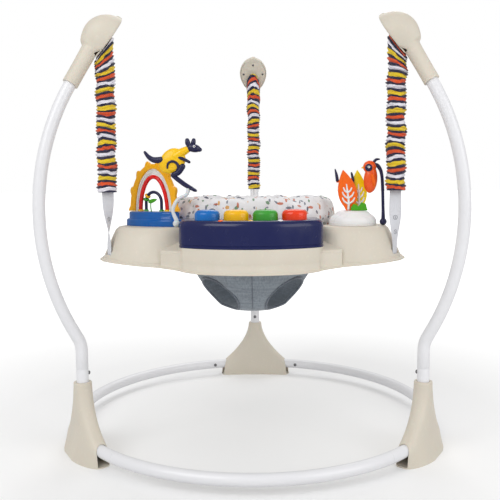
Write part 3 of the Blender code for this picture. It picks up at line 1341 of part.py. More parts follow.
def pouch_size(level, mouth):
    """Half width and half depth of the pouch at a height."""
    drop = (COLLAR_TOP + 0.003 - level) / (COLLAR_TOP + 0.003 - POUCH_BOTTOM)
    wide = mouth * (1 - 0.62 * drop ** 2.1)
    deep = mouth * (1 - 0.55 * drop ** 2.4)
    return wide, deep


def make_pouch(mouth):
    """The fabric pouch with its two leg holes, open at the top."""
    rings = []
    levels = [COLLAR_TOP - drop for drop in (-0.003, 0.023, 0.055, 0.085, 0.115, 0.143, 0.170)]
    for level in levels:
        wide, deep = pouch_size(level, mouth)
        rings.append([(wide * math.cos(turn), deep * math.sin(turn), level)
                      for turn in [math.tau * (step + 0.5) / POUCH_SIDES for step in range(POUCH_SIDES)]])
    for share, rise in ((0.72, 0.0030), (0.36, 0.0)):
        wide, deep = pouch_size(levels[-1], mouth)
        rings.append([(wide * share * math.cos(turn), deep * share * math.sin(turn), POUCH_BOTTOM + rise)
                      for turn in [math.tau * (step + 0.5) / POUCH_SIDES for step in range(POUCH_SIDES)]])
    mesh_data = bridge_rings(bmesh.new(), rings[::-1], caps=False)
    mesh_data.verts.ensure_lookup_table()
    mesh_data.faces.new([mesh_data.verts[index] for index in range(POUCH_SIDES - 1, -1, -1)])
    item = place("seat_pouch", mesh_data, material("grey_denim", (0.30, 0.34, 0.38), 0.9))
    shell = item.modifiers.new("Cloth", "SOLIDIFY")
    shell.thickness = POUCH_WALL
    shell.offset = -1.0
    shell.use_even_offset = True
    for side in (-1, 1):
        start = Vector((side * 0.038, -0.030, COLLAR_TOP - 0.117))
        end = start + Vector((side * 0.62, -0.66, -0.42)).normalized() * 0.16
        across = (end - start).cross(Vector((0, 0, 1)))
        boolean(item, tube(f"leg_hole_{side}", [start, end], LEG_HOLE_RADIUS, across, None, 20))
    return item


def centre_on_origin():
    """Shift the whole model, cutters too, so that the origin is under the middle of its box."""
    bpy.context.view_layer.update()
    front = min(corner[1] for corner in bpy.data.objects["floor_tube_front"].bound_box)
    rear = max(corner[1] for corner in bpy.data.objects["leg_tube_rear"].bound_box)
    for item in bpy.data.objects:
        item.location.y -= (front + rear) / 2


def main():
    """Build every piece, from the floor up."""
    clear_scene()
    for name, angle in FOOT_NAMES.items():
        make_cover(name, angle)
        make_tee(name, angle)
        make_leg(name, angle)
        make_cap(name, angle)
        make_spring(name, angle)
        make_sleeve(name, angle)
        make_lower_webbing(name, angle)
        make_upper_webbing(name, angle)
        make_plate(name, angle)
    reach = reach_to_degrees(STUB_REACH)
    spans = {"front": (210, 330), "right": (-30, 90), "left": (90, 210)}
    for name, (first, last) in spans.items():
        make_floor_tube(name, first + reach, last - reach)
    make_buttons()
    make_cap_trim()
    make_tray()
    make_console()
    make_left_toys()
    stalk, limbs, body = make_hopper()
    carve(limbs, stalk, "hopper_foot_seat")
    carve(body, limbs, "hopper_seat")
    make_right_toys()
    bird, perch = make_bird()
    carve(bird, perch, "bird_seat")
    make_seat()
    centre_on_origin()


if __name__ == "__main__":
    main()
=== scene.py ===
"""Looks of a free-standing baby jumper: a toy tray with a padded turning seat, hung on three sprung,
sleeved straps from three bowed legs on a floor ring."""
import json
import logging
import math
from abc import ABC, abstractmethod
from collections.abc import Callable, Iterable, Sequence
from dataclasses import dataclass, field
from enum import Enum

import bmesh
import bpy
from mathutils import Matrix, Vector
from mathutils.bvhtree import BVHTree


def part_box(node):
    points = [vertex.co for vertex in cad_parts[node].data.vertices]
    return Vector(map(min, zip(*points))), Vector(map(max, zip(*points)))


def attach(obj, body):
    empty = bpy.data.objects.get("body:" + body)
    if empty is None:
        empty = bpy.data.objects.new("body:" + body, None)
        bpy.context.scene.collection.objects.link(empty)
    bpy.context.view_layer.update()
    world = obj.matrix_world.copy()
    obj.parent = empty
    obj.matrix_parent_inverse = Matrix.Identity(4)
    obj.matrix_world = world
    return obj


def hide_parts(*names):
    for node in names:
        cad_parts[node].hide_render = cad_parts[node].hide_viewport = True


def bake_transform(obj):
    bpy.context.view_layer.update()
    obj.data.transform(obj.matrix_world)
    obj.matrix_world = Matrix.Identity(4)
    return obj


LOG = logging.getLogger("jumper")
Colour = tuple[float, float, float]
Shape = bmesh.types.BMesh

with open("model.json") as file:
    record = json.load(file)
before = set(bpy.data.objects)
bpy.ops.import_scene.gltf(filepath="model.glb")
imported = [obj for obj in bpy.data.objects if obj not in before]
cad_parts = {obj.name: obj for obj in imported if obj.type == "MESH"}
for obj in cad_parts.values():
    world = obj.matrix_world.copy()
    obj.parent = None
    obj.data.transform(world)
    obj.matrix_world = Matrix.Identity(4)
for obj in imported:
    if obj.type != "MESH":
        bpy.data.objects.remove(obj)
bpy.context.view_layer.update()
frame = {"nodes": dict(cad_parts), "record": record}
MIDDLE = (Vector(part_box("seat_ring")[0]) + Vector(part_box("seat_ring")[1])) / 2
MIDDLE.z = 0.0
UP = Vector((0, 0, 1))
MERGE = 0.00001
SHARP = 38.0
STALK_BALL = 0.0075


def paint(red: int, green: int, blue: int) -> Colour:
    """Turn a screen colour from 0 to 255 into the linear colour that a shader takes."""
    return tuple((c / 255 / 12.92) if c <= 10 else ((c / 255 + 0.055) / 1.055) ** 2.4 for c in (red, green, blue))


def toned(colour: Colour, factor: float, lift: float = 0.0) -> Colour:
    """A colour made darker or lighter, with each channel held at 1."""
    return tuple(min(channel * factor + lift, 1.0) for channel in colour)


# Node trees


class Graph:
    """A material's nodes, with a short call for each kind that the finishes use."""

    def __init__(self, name: str) -> None:
        """Start a material that holds a plain principled shader."""
        self.material = bpy.data.materials.new(name)
        self.material.use_nodes = True
        self.tree = self.material.node_tree
        self.shader = self.tree.nodes["Principled BSDF"]
        self._object: bpy.types.NodeSocket | None = None

    def add(self, kind: str, **settings: object) -> bpy.types.Node:
        """Add a node and set its options."""
        node = self.tree.nodes.new(kind)
        for name, value in settings.items():
            setattr(node, name, value)
        return node

    def feed(self, socket: bpy.types.NodeSocket, value: object) -> None:
        """Link a socket, or set it when the value is a plain number, vector or colour."""
        if isinstance(value, bpy.types.NodeSocket):
            self.tree.links.new(value, socket)
        elif socket.type == "RGBA":
            socket.default_value = (*value[:3], 1.0)
        else:
            socket.default_value = value

    def place(self) -> bpy.types.NodeSocket:
        """The object coordinates, in metres."""
        if self._object is None:
            self._object = self.add("ShaderNodeTexCoord").outputs["Object"]
        return self._object

    def attribute(self, name: str) -> bpy.types.NodeSocket:
        """A number that the mesh stores at each point."""
        return self.add("ShaderNodeAttribute", attribute_name=name).outputs["Fac"]

    def texture(self, kind: str, out: str, vector: object, inputs: dict[str, object], **settings: object
                ) -> bpy.types.NodeSocket:
        """Add a node that works on coordinates.

        Args:
            kind: The node's type.
            out: The output that is given.
            vector: The coordinates, if not the object's own.
            inputs: Its inputs, by name.
            **settings: Its options.

        Returns:
            The output.
        """
        node = self.add(kind, **settings)
        self.feed(node.inputs["Vector"], vector or self.place())
        for name, value in inputs.items():
            node.inputs[name].default_value = value
        return node.outputs[out]

    def stretched(self, scale: Sequence[float], turn: Sequence[float] = (0, 0, 0)) -> bpy.types.NodeSocket:
        """Coordinates scaled and turned by a mapping."""
        return self.texture("ShaderNodeMapping", "Vector", None, {"Scale": scale, "Rotation": turn})

    def noise(self, scale: float, detail: float = 3.0, vector: object = None,
              distortion: float = 0.0) -> bpy.types.NodeSocket:
        """Soft noise with that many cells in a metre."""
        return self.texture("ShaderNodeTexNoise", "Fac", vector,
                            {"Scale": scale, "Detail": detail, "Distortion": distortion})

    def cells(self, scale: float, out: str = "Distance", vector: object = None, randomness: float = 1.0
              ) -> bpy.types.NodeSocket:
        """Voronoi cells, as the distance or the colour of each cell."""
        return self.texture("ShaderNodeTexVoronoi", out, vector, {"Scale": scale, "Randomness": randomness})

    def waves(self, scale: float, direction: str) -> bpy.types.NodeSocket:
        """Even ribs along one direction."""
        return self.texture("ShaderNodeTexWave", "Fac", None, {"Scale": scale, "Distortion": 0.0},
                            wave_type="BANDS", bands_direction=direction)

    def maths(self, operation: str, first: object, second: object = 0.0) -> bpy.types.NodeSocket:
        """One sum on numbers."""
        node = self.add("ShaderNodeMath", operation=operation)
        self.feed(node.inputs[0], first)
        self.feed(node.inputs[1], second)
        return node.outputs[0]

    def spread(self, value: object, low: float, high: float, start: float = 0.0, end: float = 1.0
               ) -> bpy.types.NodeSocket:
        """Map a number from one range to another, held at its ends."""
        node = self.add("ShaderNodeMapRange", clamp=True)
        for name, number in (("From Min", start), ("From Max", end), ("To Min", low), ("To Max", high)):
            node.inputs[name].default_value = number
        self.feed(node.inputs["Value"], value)
        return node.outputs["Result"]

    def ramp(self, value: object, stops: Sequence[tuple[float, Colour]], step: bool = False
             ) -> bpy.types.NodeSocket:
        """Colours along a number from 0 to 1, blended or in plain bands."""
        node = self.add("ShaderNodeValToRGB")
        node.color_ramp.interpolation = "CONSTANT" if step else "LINEAR"
        marks = node.color_ramp.elements
        while len(marks) < len(stops):
            marks.new(1.0)
        for mark, (at, colour) in zip(marks, stops):
            mark.position = at
            mark.color = (*colour, 1.0)
        self.feed(node.inputs["Fac"], value)
        return node.outputs["Color"]

    def mix(self, share: object, first: object, second: object) -> bpy.types.NodeSocket:
        """Blend two colours."""
        node = self.add("ShaderNodeMix", data_type="RGBA", blend_type="MIX")
        self.feed(node.inputs[0], share)
        self.feed(node.inputs[6], first)
        self.feed(node.inputs[7], second)
        return node.outputs[2]

    def red_of(self, colour: object) -> bpy.types.NodeSocket:
        """One channel of a colour, as a number."""
        node = self.add("ShaderNodeSeparateColor")
        self.feed(node.inputs[0], colour)
        return node.outputs[0]

    def bump(self, height: object, strength: float, depth: float, under: object = None) -> bpy.types.NodeSocket:
        """Raise the surface by a height of that depth in metres."""
        node = self.add("ShaderNodeBump")
        node.inputs["Strength"].default_value = strength
        node.inputs["Distance"].default_value = depth
        self.feed(node.inputs["Height"], height)
        if under is not None:
            self.feed(node.inputs["Normal"], under)
        return node.outputs["Normal"]

    def set(self, **values: object) -> bpy.types.Material:
        """Feed the shader's sockets, named with underscores, and give the material."""
        for name, value in values.items():
            self.feed(self.shader.inputs[name.replace("_", " ")], value)
        return self.material


# Finishes


@dataclass(frozen=True)
class Finish(ABC):
    """What a surface is made of, and the record's slot that it belongs to."""

    slot: str

    @abstractmethod
    def build(self) -> bpy.types.Material:
        """Make the material's nodes."""

    def material(self) -> bpy.types.Material:
        """The material of this finish, made at its first use."""
        kept = MATERIALS.get(self)
        if kept is None:
            kept = MATERIALS[self] = self.build()
        return kept


MATERIALS: dict[Finish, bpy.types.Material] = {}


@dataclass(frozen=True)
class MouldedPlastic(Finish):
    """Moulded plastic: an even colour, slight flow marks, a fine tool texture and faint scuffs."""

    colour: Colour
    roughness: float = 0.42
    grain: float = 0.10
    coat: float = 0.0
    scatter: float = 0.06
    label: str = ""

    def build(self) -> bpy.types.Material:
        """Make the nodes of the plastic."""
        graph = Graph(self.label or self.slot)
        flow = graph.noise(9.0, 2.0, graph.stretched((1.0, 1.0, 0.45)))
        shade = graph.mix(graph.spread(flow, 0.0, 1.0, 0.3, 0.7), toned(self.colour, 0.955),
                          toned(self.colour, 1.03))
        dust = graph.noise(140.0, 4.0)
        shade = graph.mix(graph.spread(dust, 0.0, 0.20, 0.58, 0.75), shade, toned(self.colour, 1.25, 0.006))
        scuffs = graph.noise(26.0, 5.0, graph.stretched((1.0, 4.0, 1.0), (0.2, 0.1, 0.7)), 0.6)
        rough = graph.maths("ADD", graph.spread(scuffs, self.roughness - 0.05, self.roughness + 0.11, 0.35, 0.72),
                            graph.spread(dust, 0.0, 0.03, 0.4, 0.7))
        tool = graph.cells(2600.0)
        normal = graph.bump(tool, self.grain, 0.00012)
        normal = graph.bump(graph.noise(34.0, 2.0), 0.06, 0.0008, normal)
        return graph.set(Base_Color=shade, Roughness=rough, Normal=normal, Coat_Weight=self.coat * 0.5,
                         Coat_Roughness=0.08, Subsurface_Weight=self.scatter, Subsurface_Scale=0.004,
                         IOR=1.40)


@dataclass(frozen=True)
class PowderCoat(Finish):
    """White powder coat on steel tube, with an orange-peel skin and faint handling marks."""

    colour: Colour = paint(238, 238, 241)

    def build(self) -> bpy.types.Material:
        """Make the nodes of the coat."""
        graph = Graph("powder_coat")
        cloud = graph.noise(7.0, 3.0)
        shade = graph.mix(graph.spread(cloud, 0.0, 1.0, 0.3, 0.7), toned(self.colour, 0.988), self.colour)
        marks = graph.noise(60.0, 6.0, graph.stretched((1.0, 1.0, 0.12)), 0.4)
        rough = graph.spread(marks, 0.28, 0.36, 0.35, 0.75)
        peel = graph.bump(graph.noise(620.0, 2.0), 0.10, 0.0003)
        return graph.set(Base_Color=shade, Roughness=rough, Normal=peel, Coat_Weight=0.25, Coat_Roughness=0.12)


@dataclass(frozen=True)
class BareSteel(Finish):
    """Plated or drawn steel: fine lines across, and small stains."""

    colour: Colour = (0.46, 0.46, 0.48)
    roughness: float = 0.30

    def build(self) -> bpy.types.Material:
        """Make the nodes of the steel."""
        graph = Graph(self.slot)
        lines = graph.noise(900.0, 2.0, graph.stretched((1.0, 1.0, 0.05)))
        stain = graph.noise(120.0, 4.0)
        shade = graph.mix(graph.spread(stain, 0.0, 0.5, 0.5, 0.8), self.colour, toned(self.colour, 0.55))
        rough = graph.spread(lines, self.roughness - 0.08, self.roughness + 0.12, 0.3, 0.7)
        return graph.set(Base_Color=shade, Roughness=rough, Metallic=1.0, Normal=graph.bump(lines, 0.15, 0.0001))


@dataclass(frozen=True)
class FrostedPanel(Finish):
    """A milky clear panel that lets light through, with a fine etched skin."""

    colour: Colour = paint(242, 243, 240)

    def build(self) -> bpy.types.Material:
        """Make the nodes of the panel."""
        graph = Graph("frosted_panel")
        haze = graph.noise(80.0, 3.0)
        shade = graph.mix(haze, self.colour, toned(self.colour, 1.08))
        rough = graph.spread(haze, 0.28, 0.42, 0.3, 0.7)
        return graph.set(Base_Color=shade, Roughness=rough, Transmission_Weight=0.35, IOR=1.30,
                         Normal=graph.bump(graph.noise(900.0, 2.0), 0.12, 0.0002))


@dataclass(frozen=True)
class Cloth(Finish, ABC):
    """A woven or knitted cloth: its threads, its fuzz and its sheen."""

    thread: float = 0.0011
    fuzz: float = 0.35

    @abstractmethod
    def colour_of(self, graph: Graph) -> object:
        """The colour before the threads shade it."""

    def build(self) -> bpy.types.Material:
        """Make the nodes of the cloth."""
        graph = Graph(self.slot)
        ribs = 0.314 / self.thread
        warp = graph.waves(ribs, "X")
        weft = graph.waves(ribs, "Z")
        side = graph.waves(ribs, "Y")
        weave = graph.maths("MULTIPLY", graph.maths("ADD", warp, side), graph.maths("ADD", weft, 0.25))
        lint = graph.noise(420.0, 4.0)
        shade = self.colour_of(graph)
        # The dips of the weave are darkened towards near-black: painted shade between the threads.
        shade = graph.mix(graph.spread(weave, 0.0, 0.14, 1.2, 0.1), shade, (0.10, 0.10, 0.12))
        shade = graph.mix(graph.spread(lint, 0.0, 0.16, 0.55, 0.8), shade, (0.92, 0.91, 0.90))
        normal = graph.bump(weave, 0.35, 0.00035)
        normal = graph.bump(graph.noise(95.0, 4.0), 0.30, 0.0012, normal)
        rough = graph.spread(lint, 0.80, 0.95)
        return graph.set(Base_Color=shade, Roughness=rough, Normal=normal, Sheen_Weight=self.fuzz,
                         Sheen_Roughness=0.5, Specular_IOR_Level=0.25)


@dataclass(frozen=True)
class PlainCloth(Cloth):
    """Cloth of one colour, with a chambray mottle."""

    colour: Colour = paint(150, 160, 170)
    mottle: float = 0.16

    def colour_of(self, graph: Graph) -> object:
        """The yarn colour, streaked along both threads."""
        along = graph.noise(300.0, 3.0, graph.stretched((1.0, 1.0, 0.05)))
        over = graph.noise(300.0, 3.0, graph.stretched((0.05, 0.05, 1.0)))
        streak = graph.maths("MULTIPLY", along, over)
        dark = toned(self.colour, 1 - self.mottle * 1.6)
        light = toned(self.colour, 1 + self.mottle)
        return graph.mix(graph.spread(streak, 0.0, 1.0, 0.15, 0.40), dark, light)


@dataclass(frozen=True)
class StripedCloth(Cloth):
    """Jersey in repeating stripes that follow the gathers, read from the mesh's own run of the cloth."""

    cycle: float = 0.036

    def colour_of(self, graph: Graph) -> object:
        """Yellow, navy, white, navy, orange, navy, with slightly wavering edges between the rows."""
        yellow, navy = paint(242, 208, 28), paint(30, 26, 60)
        white, orange = paint(244, 241, 250), paint(232, 86, 30)
        wobble = graph.spread(graph.noise(70.0, 2.0), -0.035, 0.035, 0.2, 0.8)
        run = graph.maths("ADD", graph.maths("DIVIDE", graph.attribute("along"), self.cycle), wobble)
        row = graph.maths("FRACT", run)
        bands = ((0.0, yellow), (0.22, navy), (0.365, white), (0.545, navy), (0.69, orange), (0.865, navy))
        return graph.ramp(row, bands, step=True)


@dataclass(frozen=True)
class PrintedCloth(Cloth):
    """White cotton with a scatter of small plain motifs: spots, sprigs and diamonds."""

    ground: Colour = paint(247, 246, 248)

    def colour_of(self, graph: Graph) -> object:
        """The print, as three layers of small shapes, each cell with an ink of its own."""
        shade: object = graph.mix(graph.spread(graph.noise(30.0, 3.0), 0.0, 1.0, 0.3, 0.7),
                                  toned(self.ground, 0.95), self.ground)
        inks = ((0.0, paint(96, 108, 124)), (0.28, paint(44, 46, 78)), (0.52, paint(206, 104, 62)),
                (0.72, paint(92, 138, 96)), (0.86, paint(226, 160, 60)))
        layers = (((1.0, 1.0, 1.0), (0.0, 0.0, 0.0), 46.0, 0.22, 0.0),
                  ((1.0, 2.6, 1.0), (0.4, 0.2, 0.9), 30.0, 0.21, 0.31),
                  ((2.4, 1.0, 1.0), (0.9, 0.5, 0.3), 33.0, 0.20, 0.67),
                  ((1.0, 1.0, 2.3), (0.2, 1.0, 0.5), 29.0, 0.21, 0.13))
        for scale, turn, cells, size, shift in layers:
            where = graph.stretched(scale, turn)
            edge = graph.noise(420.0, 1.0)
            reach = graph.cells(cells, vector=where, randomness=0.75)
            reach = graph.maths("ADD", reach, graph.spread(edge, -0.03, 0.03, 0.3, 0.7))
            tint = graph.cells(cells, out="Color", vector=where, randomness=0.75)
            pick = graph.maths("FRACT", graph.maths("ADD", graph.red_of(tint), shift))
            ink = graph.ramp(pick, inks, step=True)
            shade = graph.mix(graph.spread(reach, 0.88, 0.0, size * 0.86, size), shade, ink)
        return shade


@dataclass(frozen=True)
class Webbing(Cloth):
    """Flat woven strap: ribs across it, read from the mesh's own run, and a firm selvedge."""

    colour: Colour = paint(232, 233, 238)

    def colour_of(self, graph: Graph) -> object:
        """White yarn with grey shadows between the picks."""
        rib = graph.maths("PINGPONG", graph.attribute("along"), 0.0007)
        edge = graph.maths("ABSOLUTE", graph.attribute("across"))
        shade = graph.mix(graph.spread(rib, 0.35, 0.0, 0.0, 0.0004), self.colour, paint(178, 180, 190))
        return graph.mix(graph.spread(edge, 0.0, 0.35, 0.80, 1.0), shade, paint(205, 207, 214))


BEIGE = MouldedPlastic("beige_plastic", paint(219, 211, 196), 0.44, 0.12)
WHITE_TUBE = PowderCoat("white_steel")
NAVY = MouldedPlastic("navy_plastic", paint(12, 22, 78), 0.18, 0.02, 0.5, 0.0)
NAVY_TOY = MouldedPlastic("navy_plastic", paint(24, 25, 68), 0.24, 0.03, 0.4, 0.0, "navy_toy")
BLUE = MouldedPlastic("blue_plastic", paint(0, 108, 190), 0.22, 0.03, 0.5)
BASE_BLUE = MouldedPlastic("blue_plastic", paint(0, 92, 172), 0.16, 0.02, 0.6, label="base_blue")
YELLOW = MouldedPlastic("yellow_plastic", paint(250, 190, 0), 0.22, 0.03, 0.5)
HOPPER_YELLOW = MouldedPlastic("yellow_plastic", paint(252, 200, 10), 0.26, 0.03, 0.4, label="hopper_yellow")
GREEN = MouldedPlastic("green_plastic", paint(60, 160, 50), 0.22, 0.03, 0.5)
RED = MouldedPlastic("red_plastic", paint(238, 62, 20), 0.20, 0.03, 0.5)
RAIL_RED = MouldedPlastic("red_plastic", paint(226, 12, 8), 0.18, 0.02, 0.5, label="rail_red")
SUN = MouldedPlastic("sun_plastic", paint(255, 182, 8), 0.30, 0.04, 0.3)
ORANGE = MouldedPlastic("leaf_orange", paint(255, 105, 0), 0.32, 0.04, 0.3)
LEAF_YELLOW = MouldedPlastic("leaf_yellow", paint(255, 226, 20), 0.32, 0.04, 0.3)
LEAF_GREEN = MouldedPlastic("leaf_green", paint(70, 165, 10), 0.34, 0.04, 0.2)
BIRD_ORANGE = MouldedPlastic("bird_orange", paint(246, 92, 22), 0.26, 0.03, 0.4)
WHITE_TOY = MouldedPlastic("white_plastic", paint(240, 240, 240), 0.28, 0.03, 0.3)
STALK_WHITE = MouldedPlastic("white_plastic", paint(222, 226, 228), 0.34, 0.03, 0.2, 0.25, "stalk_white")
TEAL = MouldedPlastic("teal_plastic", paint(95, 170, 180), 0.35)
BLACK = MouldedPlastic("black_plastic", paint(40, 40, 42), 0.45, 0.2)
INK = MouldedPlastic("black_plastic", paint(96, 98, 108), 0.6, 0.02, label="strap_ink")
GREY = MouldedPlastic("grey_plastic", paint(176, 174, 168), 0.42, 0.15)
BUTTON = BareSteel("button_steel", (0.20, 0.20, 0.21), 0.35)
SPRING = BareSteel("spring_steel")
FROSTED = FrostedPanel("clear_plastic")
STRIPES = StripedCloth("striped_fabric")
PRINT = PrintedCloth("printed_cotton", thread=0.0008)
DENIM = PlainCloth("grey_denim", thread=0.0012)
DENIM_DARK = PlainCloth("grey_denim", thread=0.0009, colour=paint(116, 124, 136))
WEBBING = Webbing("white_webbing")


# Shapes


def around(count: int, offset: float = 0.0) -> list[float]:
    """Even angles round a circle, in radians, shifted by a share of a step."""
    return [math.tau * (step + offset) / count for step in range(count)]


def shares(count: int) -> list[float]:
    """Even shares from 0 to 1, both ends included."""
    return [step / count for step in range(count + 1)]


def quarter(count: int) -> list[float]:
    """Even angles over a quarter turn, in radians, without the first."""
    return [math.pi / 2 * step / count for step in range(1, count + 1)]


def heading(turn: float) -> Vector:
    """The level direction at an angle in radians."""
    return Vector((math.cos(turn), math.sin(turn), 0))


def squared(value: float, power: float) -> float:
    """A sine or cosine to a power, its sign kept, which makes a round section squarer."""
    return math.copysign(abs(value) ** power, value)


def clamped(share: float) -> float:
    """A number held between 0 and 1."""
    return min(max(share, 0.0), 1.0)


def eased(share: float) -> float:
    """A share from 0 to 1 that starts and ends slowly."""
    return share * share * (3 - 2 * share)


def axes(first: Vector, second: Vector, third: Vector, place: Vector) -> Matrix:
    """The matrix that carries X, Y and Z to three directions and the origin to a place."""
    matrix = Matrix((first, second, third)).transposed().to_4x4()
    matrix.translation = place
    return matrix


def cluster(made: Iterable[object]) -> list[bmesh.types.BMVert]:
    """The points among what an operator made."""
    return [item for item in made if isinstance(item, bmesh.types.BMVert)]


def grown(shape: Shape, edges: list[bmesh.types.BMEdge]) -> tuple[list[bmesh.types.BMVert], list[bmesh.types.BMEdge]]:
    """Extrude a line of edges, and give the new line's points and edges."""
    made = bmesh.ops.extrude_edge_only(shape, edges=edges)["geom"]
    points = cluster(made)
    fresh = set(points)
    return points, [item for item in made if isinstance(item, bmesh.types.BMEdge) and set(item.verts) <= fresh]


def thickened(shape: Shape, by: Sequence[float]) -> None:
    """Extrude a flat shape by a vector."""
    made = bmesh.ops.extrude_face_region(shape, geom=list(shape.faces))["geom"]
    bmesh.ops.translate(shape, verts=cluster(made), vec=by)
    bmesh.ops.recalc_face_normals(shape, faces=shape.faces)


def moved(shape: Shape, matrix: Matrix) -> Shape:
    """Move a whole shape by a matrix."""
    bmesh.ops.transform(shape, verts=shape.verts, matrix=matrix)
    return shape


def turned_faces(shape: Shape) -> Shape:
    """Merge doubles and make every face point out."""
    bmesh.ops.remove_doubles(shape, verts=shape.verts, dist=MERGE)
    bmesh.ops.recalc_face_normals(shape, faces=shape.faces)
    return shape


def meshed(name: str, shape: Shape) -> bpy.types.Mesh:
    """Turn a shape into a mesh, and free it."""
    mesh = bpy.data.meshes.new(name)
    shape.to_mesh(mesh)
    shape.free()
    return mesh


def placed(name: str, data: bpy.types.ID) -> bpy.types.Object:
    """Add an object with that data to the scene."""
    item = bpy.data.objects.new(name, data)
    bpy.context.scene.collection.objects.link(item)
    return item


def crisp(item: bpy.types.Object, angle: float) -> None:
    """Shade a piece smoothly, but for edges above an angle in degrees."""
    item.data.shade_smooth()
    item.data.set_sharp_from_angle(angle=math.radians(angle))


def piece(name: str, shape: Shape, body: str, finish: Finish, replaces: Iterable[str] = (),
          seams: bool = True) -> bpy.types.Object:
    """Turn a shape into a piece that rides on a CAD body.

    Args:
        name: The piece's name.
        shape: Its mesh in progress, in the row frame. It is freed.
        body: The CAD body that it moves with, or nothing to leave it unattached.
        finish: What it is made of.
        replaces: The CAD nodes that it stands for.
        seams: Whether its sharp edges show.

    Returns:
        The object, at the origin.
    """
    mesh = meshed(name, shape)
    mesh.shade_smooth()
    if seams:
        mesh.set_sharp_from_angle(angle=math.radians(SHARP))
    item = placed(name, mesh)
    mesh.materials.append(finish.material())
    if body:
        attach(item, body)
    if replaces:
        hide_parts(*replaces)
    LOG.info("%s: %d faces on %s", name, len(mesh.polygons), body)
    return item


def finished(item: bpy.types.Object, levels: int = 0, bevel: float = 0.0, wall: float = 0.0) -> bpy.types.Object:
    """Give a piece a wall, soft edges and subdivision, and apply them.

    Args:
        item: The piece.
        levels: Steps of subdivision.
        bevel: Width of its rounded edges.
        wall: Thickness added inwards.

    Returns:
        The same piece.
    """
    if wall:
        solid = item.modifiers.new("wall", "SOLIDIFY")
        solid.thickness = wall
        solid.offset = -1.0
    if bevel:
        edge = item.modifiers.new("edge", "BEVEL")
        edge.width = bevel
        edge.segments = 3
        edge.limit_method = "ANGLE"
        edge.angle_limit = math.radians(32)
    if levels:
        smooth = item.modifiers.new("smooth", "SUBSURF")
        smooth.levels = levels
        smooth.render_levels = levels
    bpy.context.view_layer.update()
    graph = bpy.context.evaluated_depsgraph_get()
    made = bpy.data.meshes.new_from_object(item.evaluated_get(graph))
    item.modifiers.clear()
    item.data = made
    return item


def frames(path: Sequence[Vector], radii: Sequence[float], side: Vector) -> list[Matrix]:
    """Section planes along a path that lies square to a side direction.

    Args:
        path: Points of the centre line.
        radii: The section's size at each point.
        side: The direction square to the path's plane.

    Returns:
        One matrix for each point, with Z along the path.
    """
    found = []
    for index, (point, size) in enumerate(zip(path, radii)):
        before, after = path[max(index - 1, 0)], path[min(index + 1, len(path) - 1)]
        along = (after - before).normalized()
        across = along.cross(side).normalized()
        over = across.cross(along).normalized()
        found.append(axes(over * size, across * size, along, point))
    return found


def sweep(places: Sequence[Matrix], sides: int = 28) -> Shape:
    """Extrude a circle through section planes.

    Args:
        places: The section planes, from frames().
        sides: Number of sides of the circle.

    Returns:
        A closed shape whose points store how far along they lie.
    """
    shape = bmesh.new()
    run = shape.verts.layers.float.new("along")
    bmesh.ops.create_circle(shape, segments=sides, radius=1.0, matrix=places[0])
    edges = list(shape.edges)
    first, length = list(edges), 0.0
    for before, after in zip(places, places[1:]):
        length += (after.translation - before.translation).length
        ring, edges = grown(shape, edges)
        bmesh.ops.transform(shape, verts=ring, matrix=after @ before.inverted())
        for point in ring:
            point[run] = length
    bmesh.ops.edgeloop_fill(shape, edges=first)
    bmesh.ops.edgeloop_fill(shape, edges=edges)
    bmesh.ops.recalc_face_normals(shape, faces=shape.faces)
    return shape


def spun(profile: Sequence[tuple[float, float]], centre: Vector, steps: int = 48, closed: bool = True) -> Shape:
    """Spin a profile of (radius, height) about the upright axis through a centre.

    Args:
        profile: The profile's corners, in order.
        centre: A point on the axis, which heights are counted from.
        steps: Steps of the spin.
        closed: Whether the profile's ends join.

    Returns:
        The spun shape.
    """
    shape = bmesh.new()
    points = [shape.verts.new(centre + Vector((radius, 0, height))) for radius, height in profile]
    pairs = list(zip(points, points[1:])) + ([(points[-1], points[0])] if closed else [])
    edges = [shape.edges.new(pair) for pair in pairs]
    bmesh.ops.spin(shape, geom=points + edges, cent=centre, axis=(0, 0, 1), angle=math.tau, steps=steps,
                   use_merge=True)
    return turned_faces(shape)


def polished(node: str, width: float, angle: float = 30.0, segments: int = 2) -> Shape:
    """A merged copy of a CAD node with its edges rounded.

    Args:
        node: The CAD node.
        width: Width of the rounded edges.
        angle: The angle between faces, in degrees, above which an edge is rounded.
        segments: Steps of the rounding.

    Returns:
        The rounded copy.
    """
    shape = bmesh.new()
    shape.from_mesh(frame["nodes"][node].data)
    bmesh.ops.remove_doubles(shape, verts=shape.verts, dist=MERGE)
    bmesh.ops.dissolve_limit(shape, angle_limit=math.radians(0.6), verts=shape.verts, edges=shape.edges)
    edges = [edge for edge in shape.edges if edge.is_manifold and edge.calc_face_angle(0.0) > math.radians(angle)]
    if width:
        bmesh.ops.bevel(shape, geom=edges, offset=width, segments=segments, profile=0.5, affect="EDGES",
                        material=-1, clamp_overlap=True)
    return shape


